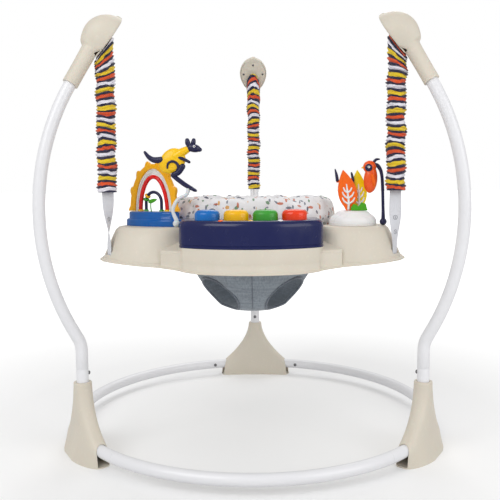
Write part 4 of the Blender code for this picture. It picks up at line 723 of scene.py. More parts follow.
def lofted(rings: Sequence[Sequence[Vector]], ends: bool = True, closed: bool = False,
           marks: Sequence[Sequence[tuple[float, float]]] | None = None) -> Shape:
    """Extrude a circle through rings of points.

    Args:
        rings: The rings, each with as many points as the first.
        ends: Whether the first and the last ring are filled.
        closed: Whether the last ring joins the first.
        marks: Where each point lies along and across its cloth, in metres.

    Returns:
        The shape, its normals outwards.
    """
    shape = bmesh.new()
    run, over = [shape.verts.layers.float.new(name) for name in ("along", "across")] if marks else (None, None)
    ring = list(bmesh.ops.create_circle(shape, segments=len(rings[0]), radius=1.0)["verts"])
    edges = list(shape.edges)
    first = list(edges)
    for index, places in enumerate(rings):
        if index:
            points, edges = grown(shape, edges)
            fresh = set(points)
            ring = [next(edge.other_vert(point) for edge in point.link_edges if edge.other_vert(point) in fresh)
                    for point in ring]
        for step, (point, place) in enumerate(zip(ring, places)):
            point.co = place
            if marks:
                point[run], point[over] = marks[index][step]
    if closed:
        bmesh.ops.bridge_loops(shape, edges=first + edges)
    elif ends:
        bmesh.ops.edgeloop_fill(shape, edges=first)
        bmesh.ops.edgeloop_fill(shape, edges=edges)
    bmesh.ops.recalc_face_normals(shape, faces=shape.faces)
    return shape


def joined(shape: Shape, *others: Shape) -> Shape:
    """Add other shapes to a shape, and free them."""
    for other in others:
        mesh = meshed("joined", other)
        shape.from_mesh(mesh)
        bpy.data.meshes.remove(mesh)
    return shape


def cut(item: bpy.types.Object, shape: Shape) -> None:
    """Cut a shape out of a piece, and free it."""
    mesh = meshed("cutter", shape)
    tool = placed("cutter", mesh)
    work = item.modifiers.new("cut", "BOOLEAN")
    work.operation = "DIFFERENCE"
    work.solver = "EXACT"
    work.object = tool
    finished(item)
    bpy.data.objects.remove(tool)
    bpy.data.meshes.remove(mesh)


def ball(centre: Vector, size: Sequence[float], turn: float = 0.0, taper: float = 0.0, steps: int = 32) -> Shape:
    """A smooth egg, tilted in the plane that faces the front.

    Args:
        centre: Its middle.
        size: Its three half sizes.
        turn: Its tilt in degrees.
        taper: How much wider its top is than its bottom.
        steps: Steps round it.

    Returns:
        The egg.
    """
    shape = bmesh.new()
    bmesh.ops.create_uvsphere(shape, u_segments=steps, v_segments=steps // 2, radius=1.0)
    for point in shape.verts:
        swell = 1.0 + taper * point.co.z
        point.co = Vector((point.co.x * size[0] * swell, point.co.y * size[1] * swell, point.co.z * size[2]))
    return moved(shape, Matrix.Translation(centre) @ Matrix.Rotation(math.radians(turn), 4, "Y"))


def dot(name: str, body: str, finish: Finish, centre: Vector, half: float, deep: float) -> None:
    """A flat round dot, for an eye or its pupil."""
    piece(name, ball(centre, (half, deep, half)), body, finish)


def curve(points: Sequence[Vector], steps: int = 10) -> list[Vector]:
    """A smooth curve through points."""
    found = []
    ends = [points[0], *points, points[-1]]
    for a, b, c, d in zip(ends, ends[1:], ends[2:], ends[3:]):
        for t in shares(steps)[:-1]:
            found.append(0.5 * (2 * b + (c - a) * t + (2 * a - 5 * b + 4 * c - d) * t * t
                                + (3 * b - a - 3 * c + d) * t ** 3))
    return [*found, points[-1]]


def limb(points: Sequence[Vector], radii: Sequence[float], side: Vector | None = None, sides: int = 20,
         steps: int = 10) -> Shape:
    """A smooth, tapering limb with rounded ends.

    Args:
        points: What its centre line passes through.
        radii: Its radius at each of them.
        side: The direction square to its plane, if not the one to the front.
        sides: Steps round it.
        steps: Steps between points.

    Returns:
        The limb.
    """
    path = curve(points, steps)
    sizes = []
    for index in range(len(path)):
        share = index / (len(path) - 1) * (len(radii) - 1)
        low = min(int(share), len(radii) - 2)
        sizes.append(radii[low] + (radii[low + 1] - radii[low]) * (share - low))
    start, end = (path[0] - path[1]).normalized() * sizes[0], (path[-1] - path[-2]).normalized() * sizes[-1]
    caps = (0.99, 0.90, 0.72, 0.45)
    full = [path[0] + start * share for share in caps] + path + [path[-1] + end * share for share in caps[::-1]]
    round_off = [math.sqrt(1 - share * share) for share in caps]
    wide = [sizes[0] * share for share in round_off] + sizes + [sizes[-1] * share for share in round_off[::-1]]
    return sweep(frames(full, wide, side or Vector((0, 1, 0))), sides)


def bent(at: Callable[..., Vector], rows: Sequence[Sequence[float]], radii: Sequence[float],
         **options: object) -> Shape:
    """A limb through places that are counted from a middle.

    Args:
        at: Turns (right, up) or (right, up, back) into a place.
        rows: Those numbers, for each place.
        radii: The radius at each of them.
        **options: What limb() takes besides.

    Returns:
        The limb.
    """
    return limb([at(*row) for row in rows], radii, **options)


# Sub-assemblies


class Foot(Enum):
    """The three feet, by the angle in degrees at which each stands."""

    LEFT = 210.0
    RIGHT = 330.0
    REAR = 90.0

    @property
    def word(self) -> str:
        """The foot's name in the CAD nodes."""
        return self.name.lower()

    @property
    def out(self) -> Vector:
        """The level direction from the middle to the foot."""
        return heading(math.radians(self.value))

    @property
    def side(self) -> Vector:
        """The level direction along the floor ring at the foot."""
        return UP.cross(self.out)


def counted_from(x: float, y: float, z: float) -> Callable[..., Vector]:
    """A function that gives points counted to the right, up and back from a middle."""

    def at(right: float, up: float, back: float = 0.0) -> Vector:
        """A point counted from the middle."""
        return Vector((x + right, y + back, z + up))

    return at


def dress(node: str, finish: Finish) -> None:
    """Give a carried-over CAD node its finish."""
    mesh = frame["nodes"][node].data
    mesh.materials.clear()
    mesh.materials.append(finish.material())


@dataclass
class Assembly(ABC):
    """A sub-assembly, placed about the middle of the seat."""

    middle: Vector = field(default_factory=lambda: MIDDLE.copy())

    @abstractmethod
    def build(self) -> None:
        """Make every piece of the sub-assembly."""


@dataclass
class TubeFrame(Assembly):
    """The floor ring, its tees and the three bowed legs, with their snap buttons."""

    ring: float = 0.410
    height: float = 0.031
    tube: float = 0.0125
    stub: float = 0.138
    joint: float = 0.181
    bend: float = 0.060
    bend_height: float = 0.236
    bulge: float = 0.487
    bulge_height: float = 0.506
    bow_top: float = 0.765
    straight: float = 0.074
    button: float = 0.0042
    floor_button: float = 0.123
    button_drop: float = 0.0095
    softened: float = 0.96

    def build(self) -> None:
        """Make the tubes of the ring and of each foot."""
        reach = math.degrees(self.stub / self.ring)
        for name, start, end in (("front", Foot.LEFT, Foot.RIGHT), ("right", Foot.RIGHT, Foot.REAR),
                                 ("left", Foot.REAR, Foot.LEFT)):
            span = (end.value - start.value) % 360
            turns = [start.value + reach + (span - 2 * reach) * step / 48 for step in range(49)]
            path = [self.on_ring(turn) for turn in turns]
            piece(f"floor_tube_{name}_coat", self.pipe(path, UP), "frame", WHITE_TUBE,
                  [f"floor_tube_{name}"])
            back = math.degrees((self.stub - self.floor_button) / self.ring)
            for side, turn in (("start", turns[0] - back), ("end", turns[-1] + back)):
                piece(f"floor_button_{name}_{side}", self.snap_button(turn, self.height), "frame", BUTTON)
        for foot in Foot:
            self.tee(foot, reach)
            self.leg(foot)
            piece(f"leg_button_{foot.word}_dome", self.snap_button(foot.value, self.joint - self.button_drop),
                  f"leg_button_{foot.word}", BUTTON, [f"leg_button_{foot.word}"])

    def on_ring(self, turn: float, height: float | None = None, radius: float | None = None) -> Vector:
        """A point over the floor ring.

        Args:
            turn: The angle in degrees.
            height: Its height, if not the ring's.
            radius: Its distance from the middle, if not the ring's.

        Returns:
            The point.
        """
        return self.middle + heading(math.radians(turn)) * (radius or self.ring) + Vector((0, 0, height or self.height))

    def pipe(self, path: list[Vector], side: Vector) -> Shape:
        """A tube with softened ends along a path.

        Args:
            path: The centre line.
            side: The direction square to its plane.

        Returns:
            The tube.
        """
        ends = [path[0].lerp(path[1], 0.02), path[-1].lerp(path[-2], 0.02)]
        full = [path[0], ends[0], *path[1:-1], ends[1], path[-1]]
        radii = [self.tube * self.softened] + [self.tube] * (len(full) - 2) + [self.tube * self.softened]
        return sweep(frames(full, radii, side), 32)

    def tee(self, foot: Foot, reach: float) -> None:
        """A tee: the floor stub, the upright and the weld between them.

        Args:
            foot: The foot that it stands in.
            reach: Half its span along the ring, in degrees.
        """
        run = [self.on_ring(foot.value + reach * (step / 10 - 1)) for step in range(21)]
        shape = self.pipe(run, UP)
        rise = [self.on_ring(foot.value, level) for level in (self.height, 0.05, 0.12, self.joint)]
        weld = [self.on_ring(foot.value, level) for level in (0.041, 0.0445, 0.048)]
        bead = [self.tube + proud for proud in (0.0018, 0.0026, 0.0004)]
        joined(shape, self.pipe(rise, foot.side), sweep(frames(weld, bead, foot.side), 32))
        piece(f"base_tee_{foot.word}_coat", shape, "frame", WHITE_TUBE, [f"base_tee_{foot.word}"])

    def profile(self) -> list[tuple[float, float]]:
        """The leg's centre line, as (distance, height) points."""
        rise, swell = self.bulge_height - self.bend_height, self.bulge - self.ring
        radius = (rise * rise + swell * swell) / (2 * swell)
        centre = self.bulge - radius
        low = math.asin(rise / radius)
        high = math.asin((self.bow_top - self.bulge_height) / radius)
        drop = self.bend * math.tan(low / 2)
        points = [(self.ring, self.joint)]
        for step in range(13):
            turn = low * step / 12
            points.append((self.ring + self.bend * (1 - math.cos(turn)),
                           self.bend_height - drop + self.bend * math.sin(turn)))
        start = drop / radius
        for step in range(1, 41):
            turn = -low + start + (low - start + high) * step / 40
            points.append((centre + radius * math.cos(turn), self.bulge_height + radius * math.sin(turn)))
        last = points[-1]
        points.append((last[0] - math.sin(high) * self.straight, last[1] + math.cos(high) * self.straight))
        return points

    def leg(self, foot: Foot) -> None:
        """A bowed leg tube."""
        path = [self.middle + foot.out * distance + Vector((0, 0, height)) for distance, height in self.profile()]
        piece(f"leg_tube_{foot.word}_coat", self.pipe(path, foot.side), "frame", WHITE_TUBE,
              [f"leg_tube_{foot.word}"])

    def snap_button(self, turn: float, height: float) -> Shape:
        """A domed snap button that points to the middle."""
        outer = self.ring - self.tube - self.button
        steps = ((outer, 0.05), (outer + 0.0003, 0.40), (outer + 0.0010, 0.72), (outer + 0.0020, 0.94),
                 (outer + 0.0030, 1.0), (outer + 0.0090, 1.0))
        path = [self.on_ring(turn, height, radius) for radius, _ in steps]
        return sweep(frames(path, [self.button * share for _, share in steps], UP), 24)


@dataclass
class FootCover(Assembly):
    """A hollow moulded cover that stands on the floor and hides a tee."""

    foot: Foot = Foot.LEFT
    ring: float = 0.410
    top: float = 0.154
    half_length: float = 0.100
    top_radius: float = 0.0185
    end_half: float = 0.0205
    toe: float = 0.038
    wall: float = 0.0025
    exit_radius: float = 0.0134
    exit_height: float = 0.031
    exit_waist: float = 0.029
    exit_floor: float = 0.0026
    sole_low: float = 0.0004
    sole_thick: float = 0.0022
    sides: int = 56
    levels: int = 22

    def build(self) -> None:
        """Make the cover with its wall, its openings and its sole."""
        shape = self.skin()
        item = piece(f"foot_cover_{self.foot.word}_shell", shape, "frame", BEIGE, [f"foot_cover_{self.foot.word}"])
        finished(item, wall=self.wall)
        for side in (-1, 1):
            cut(item, self.exit_shape(side))
        crisp(item, 40)
        self.sole()

    def spot(self, along: float, out: float, level: float) -> Vector:
        """A point counted along the floor ring and outwards from the upright."""
        turn = math.radians(self.foot.value) + along / self.ring
        radius = self.ring + out
        return self.middle + Vector((radius * math.cos(turn), radius * math.sin(turn), level))

    def outline(self, level: float, turn: float) -> tuple[float, float]:
        """A point of one level section, as (along, out) about the upright.

        Args:
            level: Height of the section.
            turn: Angle round it, in radians.

        Returns:
            Its place along the ring and outwards.
        """
        drop = clamped((self.top - level) / self.top)
        spread = self.top_radius + (self.half_length - self.top_radius) * min(1.0, (drop * 1.28) ** 1.9)
        toe = max(0.0, (drop - 0.62) / 0.38)
        start = self.top_radius + 0.004 * drop
        outer = start + (self.toe - start) * toe ** 1.3
        inner = self.top_radius + (self.end_half - self.top_radius) * drop
        square = 1.0 - 0.55 * drop
        cos, sin = math.cos(turn), math.sin(turn)
        along = spread * squared(cos, square)
        reach = outer if sin > 0 else inner
        share = abs(along) / spread
        reach = self.end_half + (reach - self.end_half) * (1 - share * share)
        return along, reach * squared(sin, square)

    def skin(self) -> Shape:
        """The cover's outside, open below, with a rounded top rim and an open neck for the leg."""
        heights = [self.top * step / self.levels for step in range(self.levels + 1)]
        stops = [(height, height, 1.0) for height in heights[:-1]]
        stops += [(self.top, self.top - 0.0016, 1.0), (self.top, self.top - 0.0005, 0.965), (self.top, self.top, 0.90),
                  (self.top, self.top, 0.72)]
        rings = []
        for source, level, share in stops:
            places = [self.outline(source, turn) for turn in around(self.sides, 0.5)]
            rings.append([self.spot(along * share, out * share, level) for along, out in places])
        return lofted(rings, ends=False)

    def exit_shape(self, side: int) -> Shape:
        """The arched slot through which the floor tube leaves the cover."""
        path = [self.spot(side * reach, 0.0, self.exit_height) for reach in (0.072, 0.095, 0.120)]
        shape = sweep(frames(path, [self.exit_radius] * 3, UP), 36)
        for point in shape.verts:
            if point.co.z < self.exit_waist:
                point.co.z = self.exit_floor
        return shape

    def sole(self) -> None:
        """The flat sole, a rim narrower than the cover."""
        shape = bmesh.new()
        bmesh.ops.create_circle(shape, segments=self.sides, radius=1.0, cap_ends=True)
        for point, turn in zip(shape.verts, around(self.sides, 0.5)):
            along, out = self.outline(0.0, turn)
            point.co = self.spot(along * 0.985, out * 0.95, self.sole_low)
        thickened(shape, (0, 0, self.sole_thick))
        piece(f"foot_sole_{self.foot.word}", shape, "frame", BEIGE)


CAP_STATIONS = (
    (0.000, 0.0168, -0.0160, 0.0160), (0.045, 0.0176, -0.0160, 0.0160), (0.075, 0.0195, -0.0166, 0.0166),
    (0.083, 0.0212, -0.0176, 0.0176), (0.088, 0.0240, -0.0182, 0.0236), (0.105, 0.0322, -0.0196, 0.0290),
    (0.122, 0.0365, -0.0212, 0.0300), (0.140, 0.0355, -0.0228, 0.0252), (0.155, 0.0290, -0.0244, 0.0150),
    (0.166, 0.0195, -0.0256, 0.0010), (0.1725, 0.0080, -0.0262, -0.0130))


def smooth_stations(count: int) -> list[tuple[float, float, float, float]]:
    """The cap's stations, joined by a smooth curve and sampled evenly.

    Args:
        count: How many to give.

    Returns:
        Stations of (along, half width, inner face, outer face).
    """
    found = []
    last = len(CAP_STATIONS) - 1
    for step in range(count + 1):
        along = CAP_STATIONS[-1][0] * step / count
        index = max(i for i in range(last) if CAP_STATIONS[i][0] <= along + 1e-9)
        low, high = CAP_STATIONS[index], CAP_STATIONS[index + 1]
        before, after = CAP_STATIONS[max(index - 1, 0)], CAP_STATIONS[min(index + 2, last)]
        span = high[0] - low[0]
        t = (along - low[0]) / span
        row = [along]
        for axis in (1, 2, 3):
            slope_low = (high[axis] - before[axis]) / (high[0] - before[0]) * span
            slope_high = (after[axis] - low[axis]) / (after[0] - low[0]) * span
            if index < 2 and axis:
                slope_low = (high[axis] - low[axis]) * 0.8
            row.append((2 * t ** 3 - 3 * t ** 2 + 1) * low[axis] + (t ** 3 - 2 * t ** 2 + t) * slope_low
                       + (3 * t ** 2 - 2 * t ** 3) * high[axis] + (t ** 3 - t ** 2) * slope_high)
        found.append(tuple(row))
    return found


@dataclass
class LegCap(Assembly):
    """The moulded head on top of a leg, with its plate, its three screws and the strap's slot."""

    foot: Foot = Foot.LEFT
    wall: float = 0.0026
    plate: float = 0.0024
    pocket: tuple[float, float] = (0.073, 0.1635)
    pocket_depth: float = 0.010
    lid_span: tuple[float, float] = (0.0735, 0.1630)
    slot_along: float = 0.0995
    slot_size: tuple[float, float, float] = (0.020, 0.030, 0.006)
    sunk: float = 0.0006
    bore: float = 0.0128
    screw_spots: tuple[tuple[float, float], ...] = ((0.154, 0.0), (0.127, -0.0262), (0.127, 0.0262))
    sides: int = 64

    def build(self) -> None:
        """Make the shell, the plate and the screws."""
        word = self.foot.word
        shell = piece(f"cap_shell_{word}_skin", self.loft([(row, 0.0, None) for row in self.rounded_rows()]),
                      "frame", BEIGE, [f"cap_shell_{word}"])
        cut(shell, self.loft([(row, self.wall, self.pocket_depth) for row in self.rows_in(self.pocket)]))
        bore = [self.point(along, 0, 0) for along in (-0.01, 0.03, 0.070)]
        cut(shell, sweep(frames(bore, [self.bore] * 3, self.foot.side), 32))
        finished(shell, bevel=0.0007)
        crisp(shell, 45)
        self.lid()
        self.screws()

    def point(self, along: float, across: float, off: float) -> Vector:
        """A point of the cap, counted along the tube, sideways and outwards."""
        start, way = self.axis()
        distance = start[0] + way[0] * along + way[1] * off
        height = start[1] + way[1] * along - way[0] * off
        return self.middle + self.foot.out * distance + self.foot.side * across + Vector((0, 0, height))

    @staticmethod
    def axis() -> tuple[tuple[float, float], tuple[float, float]]:
        """Where the leg's straight end starts, and its direction, as (distance, height)."""
        low, high = TubeFrame().profile()[-2:]
        length = math.dist(low, high)
        return low, ((high[0] - low[0]) / length, (high[1] - low[1]) / length)

    def normal(self) -> Vector:
        """The direction from the plate into the cap."""
        way = self.axis()[1]
        return self.foot.out * way[1] - Vector((0, 0, way[0]))

    @staticmethod
    def rows_in(span: tuple[float, float]) -> list[tuple[float, float, float, float]]:
        """The stations between two places along the cap."""
        return [row for row in smooth_stations(64) if span[0] <= row[0] <= span[1]]

    @staticmethod
    def rounded_rows() -> list[tuple[float, float, float, float]]:
        """The outer stations, closed by a small rounded nose at the tip."""
        rows = smooth_stations(72)
        along, half, inner, outer = rows[-1]
        middle = (inner + outer) / 2
        for share in (0.25, 0.5, 0.75, 0.95):
            shrink = math.sqrt(1 - share * share)
            rows.append((along + 0.0035 * share, half * shrink, middle + (inner - middle) * shrink,
                         middle + (outer - middle) * shrink))
        return rows

    def loft(self, rows: Sequence[tuple[tuple[float, float, float, float], float, float | None]]) -> Shape:
        """Sections with a flat inner face under a dome.

        Args:
            rows: Each station, how far it is set in, and how far its inner face is sunk, or None.

        Returns:
            The closed loft.
        """
        rings = []
        for (along, half, inner, outer), inset, sink in rows:
            blend = clamped((along - 0.078) / 0.012)
            middle = (inner + outer) / 2 * (1 - blend) + (inner + 0.004) * blend
            ring = []
            for turn in around(self.sides, 0.5):
                rise = math.sin(turn)
                if rise > 0:
                    off = middle + (outer - inset - middle) * rise
                elif sink is None:
                    off = middle + (middle - inner) * squared(rise, 1 - 0.55 * blend)
                else:
                    off = inner - sink
                ring.append(self.point(along, (half - inset) * math.cos(turn), off))
            rings.append(ring)
        return lofted(rings)

    def face(self, along: float) -> float:
        """The plate's outer face, just inside the cap's rim."""
        rows = smooth_stations(64)
        near = min(rows, key=lambda row: abs(row[0] - along))
        return near[2] + self.sunk

    def lid(self) -> None:
        """The plate that closes the cap, with a slot for the strap."""
        rows = self.rows_in(self.lid_span)
        shape = bmesh.new()
        corners = bmesh.ops.create_grid(shape, x_segments=1, y_segments=len(rows) - 1, size=1.0)["verts"]
        corners.sort(key=lambda point: (round(point.co.y, 5), point.co.x))
        for index, (along, half, inner, _) in enumerate(rows):
            wide = (half - self.wall) * 0.985 - 0.0005
            for point, side in zip(corners[index * 2:index * 2 + 2], (-1, 1)):
                point.co = self.point(along, side * wide, inner + self.sunk)
        back = self.normal() * self.plate
        thickened(shape, back)
        item = piece(f"cap_plate_{self.foot.word}_lid", shape, "frame", BEIGE, [f"cap_plate_{self.foot.word}"])
        slot = bmesh.new()
        bmesh.ops.create_cube(slot, size=1.0)
        bmesh.ops.bevel(slot, geom=[edge for edge in slot.edges if abs((edge.verts[0].co - edge.verts[1].co).x) > 0.9],
                        offset=0.2, segments=1, profile=0.5, affect="EDGES", material=-1)
        bmesh.ops.scale(slot, verts=slot.verts, vec=self.slot_size)
        out, side = back.normalized(), self.foot.side
        where = self.point(self.slot_along, 0, self.face(self.slot_along))
        cut(item, moved(slot, axes(out, side, side.cross(out), where)))
        finished(item, bevel=0.0005)
        crisp(item, 35)

    def screws(self) -> None:
        """Three pan-head screws with a cross recess."""
        out = -self.normal()
        turn = out.to_track_quat("Z", "Y").to_matrix().to_4x4()
        for number, (along, across) in enumerate(self.screw_spots):
            base = self.point(along, across, self.face(along))
            shape = spun(((0.0001, 0.0010), (0.0015, 0.00095), (0.0026, 0.0006), (0.0030, 0.0001), (0.0030, -0.0008),
                          (0.0001, -0.0008)), Vector((0, 0, 0)), 28)
            item = piece(f"cap_screw_{self.foot.word}_{number}", moved(shape, Matrix.Translation(base) @ turn),
                         "frame", BUTTON)
            cross = bmesh.new()
            bmesh.ops.create_circle(cross, segments=12, radius=1.0, cap_ends=True)
            arm, half = 0.0017, 0.0003
            quarter = [(arm, -half), (arm, half), (half, half)]
            for index, point in enumerate(cross.verts):
                spin = math.pi / 2 * (index // 3) + 0.4 * number
                x, y = quarter[index % 3]
                point.co = (x * math.cos(spin) - y * math.sin(spin), x * math.sin(spin) + y * math.cos(spin), -0.0006)
            thickened(cross, (0, 0, 0.0012))
            cut(item, moved(cross, Matrix.Translation(base + out * 0.0010) @ turn))


@dataclass
class StrapSet(Assembly):
    """A hanging strap: its upper webbing, its coil spring, its ruched sleeve and its lower webbing."""

    foot: Foot = Foot.LEFT
    reach: float = 0.345
    spring_top: float = 0.806
    spring_bottom: float = 0.598
    sleeve_top: float = 0.842
    sleeve_bottom: float = 0.548
    slant: float = 1.35
    width: float = 0.025
    cloth: float = 0.0018
    bore: tuple[float, float] = (0.0168, 0.0140)
    rows: int = 294
    columns: int = 84
    wire: float = 0.00075
    coil_radius: float = 0.0088
    slot: float = 0.4199
    bar: tuple[float, float] = (0.0325, 0.0080)
    seed: float = 0.0

    def build(self) -> None:
        """Make all of the strap."""
        self.sleeve()
        self.coil()
        self.upper()
        self.lower()

    def at(self, out: float, over: float, height: float) -> Vector:
        """A point counted outwards and sideways from the strap's line."""
        return self.middle + self.foot.out * (self.reach + out) + self.foot.side * over + Vector((0, 0, height))

    def gathers(self, share: float, turn: float) -> float:
        """How far the cloth stands out from its bore: uneven folds that wander round the sleeve.

        Args:
            share: The place along the sleeve, from 0 below to 1 above.
            turn: The angle round it.

        Returns:
            The distance in metres.
        """
        s = self.seed
        wander = 0.95 * math.sin(turn + 1.7 * s + 9 * share) + 0.62 * math.sin(2 * turn + 3 * s - 14 * share)
        wander += 0.30 * math.sin(3 * turn - s + 31 * share)
        fold = math.sin(21.5 * math.tau * share + 1.25 * wander)
        fine = math.sin(61 * math.tau * share + 1.8 * math.sin(turn * 2 + s) + 2.3 * math.sin(17 * share + s))
        puff = 0.5 + 0.5 * math.sin(7.3 * math.tau * share + 1.3 * math.sin(turn + s))
        depth = 0.0010 + 0.0014 * puff
        swell = 0.0015 * math.sin(4.6 * math.tau * share + 1.6 * math.sin(turn - s) + 2 * s)
        valley = 0.0011 * max(0.0, math.cos(3 * turn + 1.1 * math.sin(9 * math.tau * share + s))) ** 10
        ends = min(1.0, share / 0.035, (1 - share) / 0.02)
        return (depth * (1 - abs(fold)) * 1.9 + 0.00026 * fine + swell - valley) * max(ends, 0.0)

    def sleeve(self) -> None:
        """The striped sleeve, gathered over the spring, with a flared hem below."""
        height = self.sleeve_top - self.sleeve_bottom
        rings, marks = [], []
        for share in shares(self.rows):
            hem = math.exp(-share * 26)
            sway = 0.0008 * math.sin(5 * share + self.seed)
            ring, marked = [], []
            for turn in around(self.columns):
                proud = self.gathers(share, turn)
                out = self.bore[0] + proud + 0.0014 * hem
                over = self.bore[1] + proud + 0.0010 * hem
                tilt = 0.0016 * math.sin(turn + 3 * self.seed + 11 * share) * math.sin(math.pi * share)
                tilt -= self.slant * out * math.cos(turn) * share ** 6
                ring.append(self.at(out * math.cos(turn) + sway, over * math.sin(turn),
                                    self.sleeve_bottom + height * share + tilt))
                wave = 0.0016 * math.sin(turn * 2 + self.seed + 20 * share)
                marked.append((height * share + wave + 0.011 * self.seed, turn))
            rings.append(ring)
            marks.append(marked)
        shape = lofted(rings, ends=False, marks=marks)
        item = piece(f"sleeve_{self.foot.word}_ruched", shape, "", STRIPES, [f"spring_sleeve_{self.foot.word}"],
                     seams=False)
        finished(item, wall=0.0011)
        item.data.shade_smooth()
        self.at(0, 0, self.sleeve_top - 0.02)
        self.at(0, 0, self.sleeve_bottom + 0.02)
        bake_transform(item)
        f"cap_plate_{self.foot.word}"

    def coil(self) -> None:
        """The extension spring, wound from round wire, with a hook at each end."""
        shape = bmesh.new()
        wire = self.wire
        length = self.spring_top - self.spring_bottom - 0.020
        turns = int(length / (wire * 2 * 1.35))
        upright = Matrix.Translation((self.coil_radius, 0, 0)) @ Matrix.Rotation(math.pi / 2, 4, "X")
        made = bmesh.ops.create_circle(shape, segments=7, radius=wire, matrix=upright)
        bmesh.ops.spin(shape, geom=made["verts"] + list(shape.edges), cent=(0, 0, 0), axis=(0, 0, 1),
                       angle=math.tau * turns, steps=turns * 16, dvec=(0, 0, length / (turns * 16)))
        bmesh.ops.holes_fill(shape, edges=shape.edges, sides=8)
        bmesh.ops.recalc_face_normals(shape, faces=shape.faces)
        bmesh.ops.translate(shape, verts=shape.verts, vec=self.at(0, 0, self.spring_bottom + 0.010))
        for top, way in ((self.spring_top, -1), (self.spring_bottom, 1)):
            path = []
            for step in range(19):
                turn = math.pi * 1.5 * step / 18
                path.append(self.at(0, 0.0044 * math.cos(turn), top + way * (0.0056 - 0.0044 * math.sin(turn))))
            joined(shape, sweep(frames(path, [wire * 1.2] * 19, self.foot.out), 8))
        item = piece(f"spring_{self.foot.word}_coil", shape, "", SPRING, [f"spring_{self.foot.word}"], seams=False)
        self.at(0, 0, self.spring_top - 0.012)
        self.at(0, 0, self.spring_bottom + 0.012)
        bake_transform(item)

    def ribbon(self, stops: Sequence[tuple[Vector, Vector, float, float]]) -> Shape:
        """Flat webbing through stops.

        Args:
            stops: Each (centre, direction across, width, thickness).

        Returns:
            The closed ribbon, whose points store how far along and across they lie.
        """
        length, rings, marks = 0.0, [], []
        for index, (centre, across, width, thick) in enumerate(stops):
            before, after = stops[max(index - 1, 0)][0], stops[min(index + 1, len(stops) - 1)][0]
            if index:
                length += (centre - before).length
            up = across.cross(after - before).normalized()
            ring, marked = [], []
            for turn in around(20, 0.5):
                wide, deep = squared(math.cos(turn), 0.35), squared(math.sin(turn), 0.60)
                ring.append(centre + across * wide * width / 2 + up * deep * thick / 2)
                marked.append((length, wide))
            rings.append(ring)
            marks.append(marked)
        return lofted(rings, marks=marks)

    def along_curve(self, stops: Sequence[tuple[float, float, float, float, float]], steps: int = 8
                    ) -> list[tuple[Vector, Vector, float, float]]:
        """Smooth stops of a ribbon.

        Args:
            stops: Each (distance off the strap's line, height, turn in degrees, width, thickness).
            steps: Steps between them.

        Returns:
            Stops for ribbon().
        """
        found = []
        for low, high in zip(stops, stops[1:]):
            for t in shares(steps)[:-1]:
                found.append([a + (b - a) * t for a, b in zip(low, high)])
        found.append(list(stops[-1]))
        return [(self.at(out, 0.0, height), self.across(math.radians(turn)), width, thick)
                for out, height, turn, width, thick in found]

    def across(self, spin: float) -> Vector:
        """The level direction across the strap, turned from the floor ring's by an angle in radians."""
        return self.foot.side * math.cos(spin) + self.foot.out * math.sin(spin)

    def upper(self) -> None:
        """The upper webbing: a stitched loop behind the plate, the bend in the slot and the drop to the spring."""
        cap = LegCap(foot=self.foot)
        way = cap.axis()[1]
        slot = cap.point(cap.slot_along, 0, cap.face(cap.slot_along)) - self.middle
        distance = slot.dot(self.foot.out) - self.reach
        stops = []
        for off, thick in ((0.0150, 0.0042), (0.0148, 0.0080), (0.0032, 0.0082), (0.0030, 0.0018), (-0.0010, 0.0018)):
            stops.append((distance + way[1] * off, slot.z - way[0] * off, 0.0, self.width, thick))
        for out, height, share in ((0.0022, slot.z - 0.0028, 1.0), (0.0008, slot.z - 0.0058, 1.0),
                                   (0.0001, slot.z - 0.010, 0.92), (0.0, self.spring_top + 0.014, 0.70),
                                   (0.0, self.spring_top + 0.0006, 0.66)):
            stops.append((out, height, 0.0, self.width * share, self.cloth))
        piece(f"upper_webbing_{self.foot.word}_woven", self.ribbon(self.along_curve(stops, 4)), "frame", WEBBING,
              [f"upper_webbing_{self.foot.word}"])

    def lower(self) -> None:
        """The lower webbing: a quarter turn below the sleeve, the tray's slot and the stitched end bar."""
        top, slot, cloth = self.spring_bottom - 0.0006, self.slot, self.cloth
        stops = [(0.0, top, 90.0, self.width * 0.70, cloth), (0.0, top - 0.014, 90.0, self.width * 0.95, cloth)]
        start, end = self.sleeve_bottom - 0.004, slot + 0.012
        for share in shares(12):
            stops.append((0.0, start + (end - start) * share, 90 * (1 - eased(share)), self.width, cloth))
        stops += [(0.0, slot - 0.006, 0.0, self.width, cloth), (-0.008, slot - 0.0148, 0.0, self.width, cloth),
                  (-0.008, slot - 0.0152, 0.0, *self.bar), (-0.008, slot - 0.0205, 0.0, *self.bar)]
        item = piece(f"lower_webbing_{self.foot.word}_woven", self.ribbon(self.along_curve(stops, 5)), "", WEBBING,
                     [f"lower_webbing_{self.foot.word}"], seams=False)
        self.at(0, 0, top - 0.02)
        self.at(0, 0, slot - 0.002)
        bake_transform(item)
        prints = []
        two = ((-1.0, 0.9), (0.0, 1.8), (1.0, 0.9), (0.2, -0.4), (-1.1, -1.8), (1.2, -1.8))
        one = ((-0.8, 0.9), (0.2, 1.8), (0.2, -1.8))
        for height, digit in ((start - 0.052, two), (start - 0.082, one)):
            across = self.across(math.pi / 2 * (1 - eased((start - height) / (start - end))))
            facing = across.cross(UP)
            if facing.y > 0:
                across, facing = -across, -facing
            place = axes(across, UP, facing, self.at(0, 0, height) + facing * (cloth / 2 - 0.0001))
            mark = spun(((0.0040, 0.0), (0.0040, 0.0003), (0.0047, 0.0003), (0.0047, 0.0)), Vector((0, 0, 0)), 40)
            joined(mark, limb([Vector((x / 1000, y / 1000, 0.0)) for x, y in digit], [0.0004] * len(digit),
                              sides=8, steps=4))
            prints.append(moved(mark, place))
        marks = piece(f"strap_marks_{self.foot.word}", joined(*prints), "", INK, seams=False)
        self.at(0, 0, top - 0.02)
        self.at(0, 0, slot - 0.002)
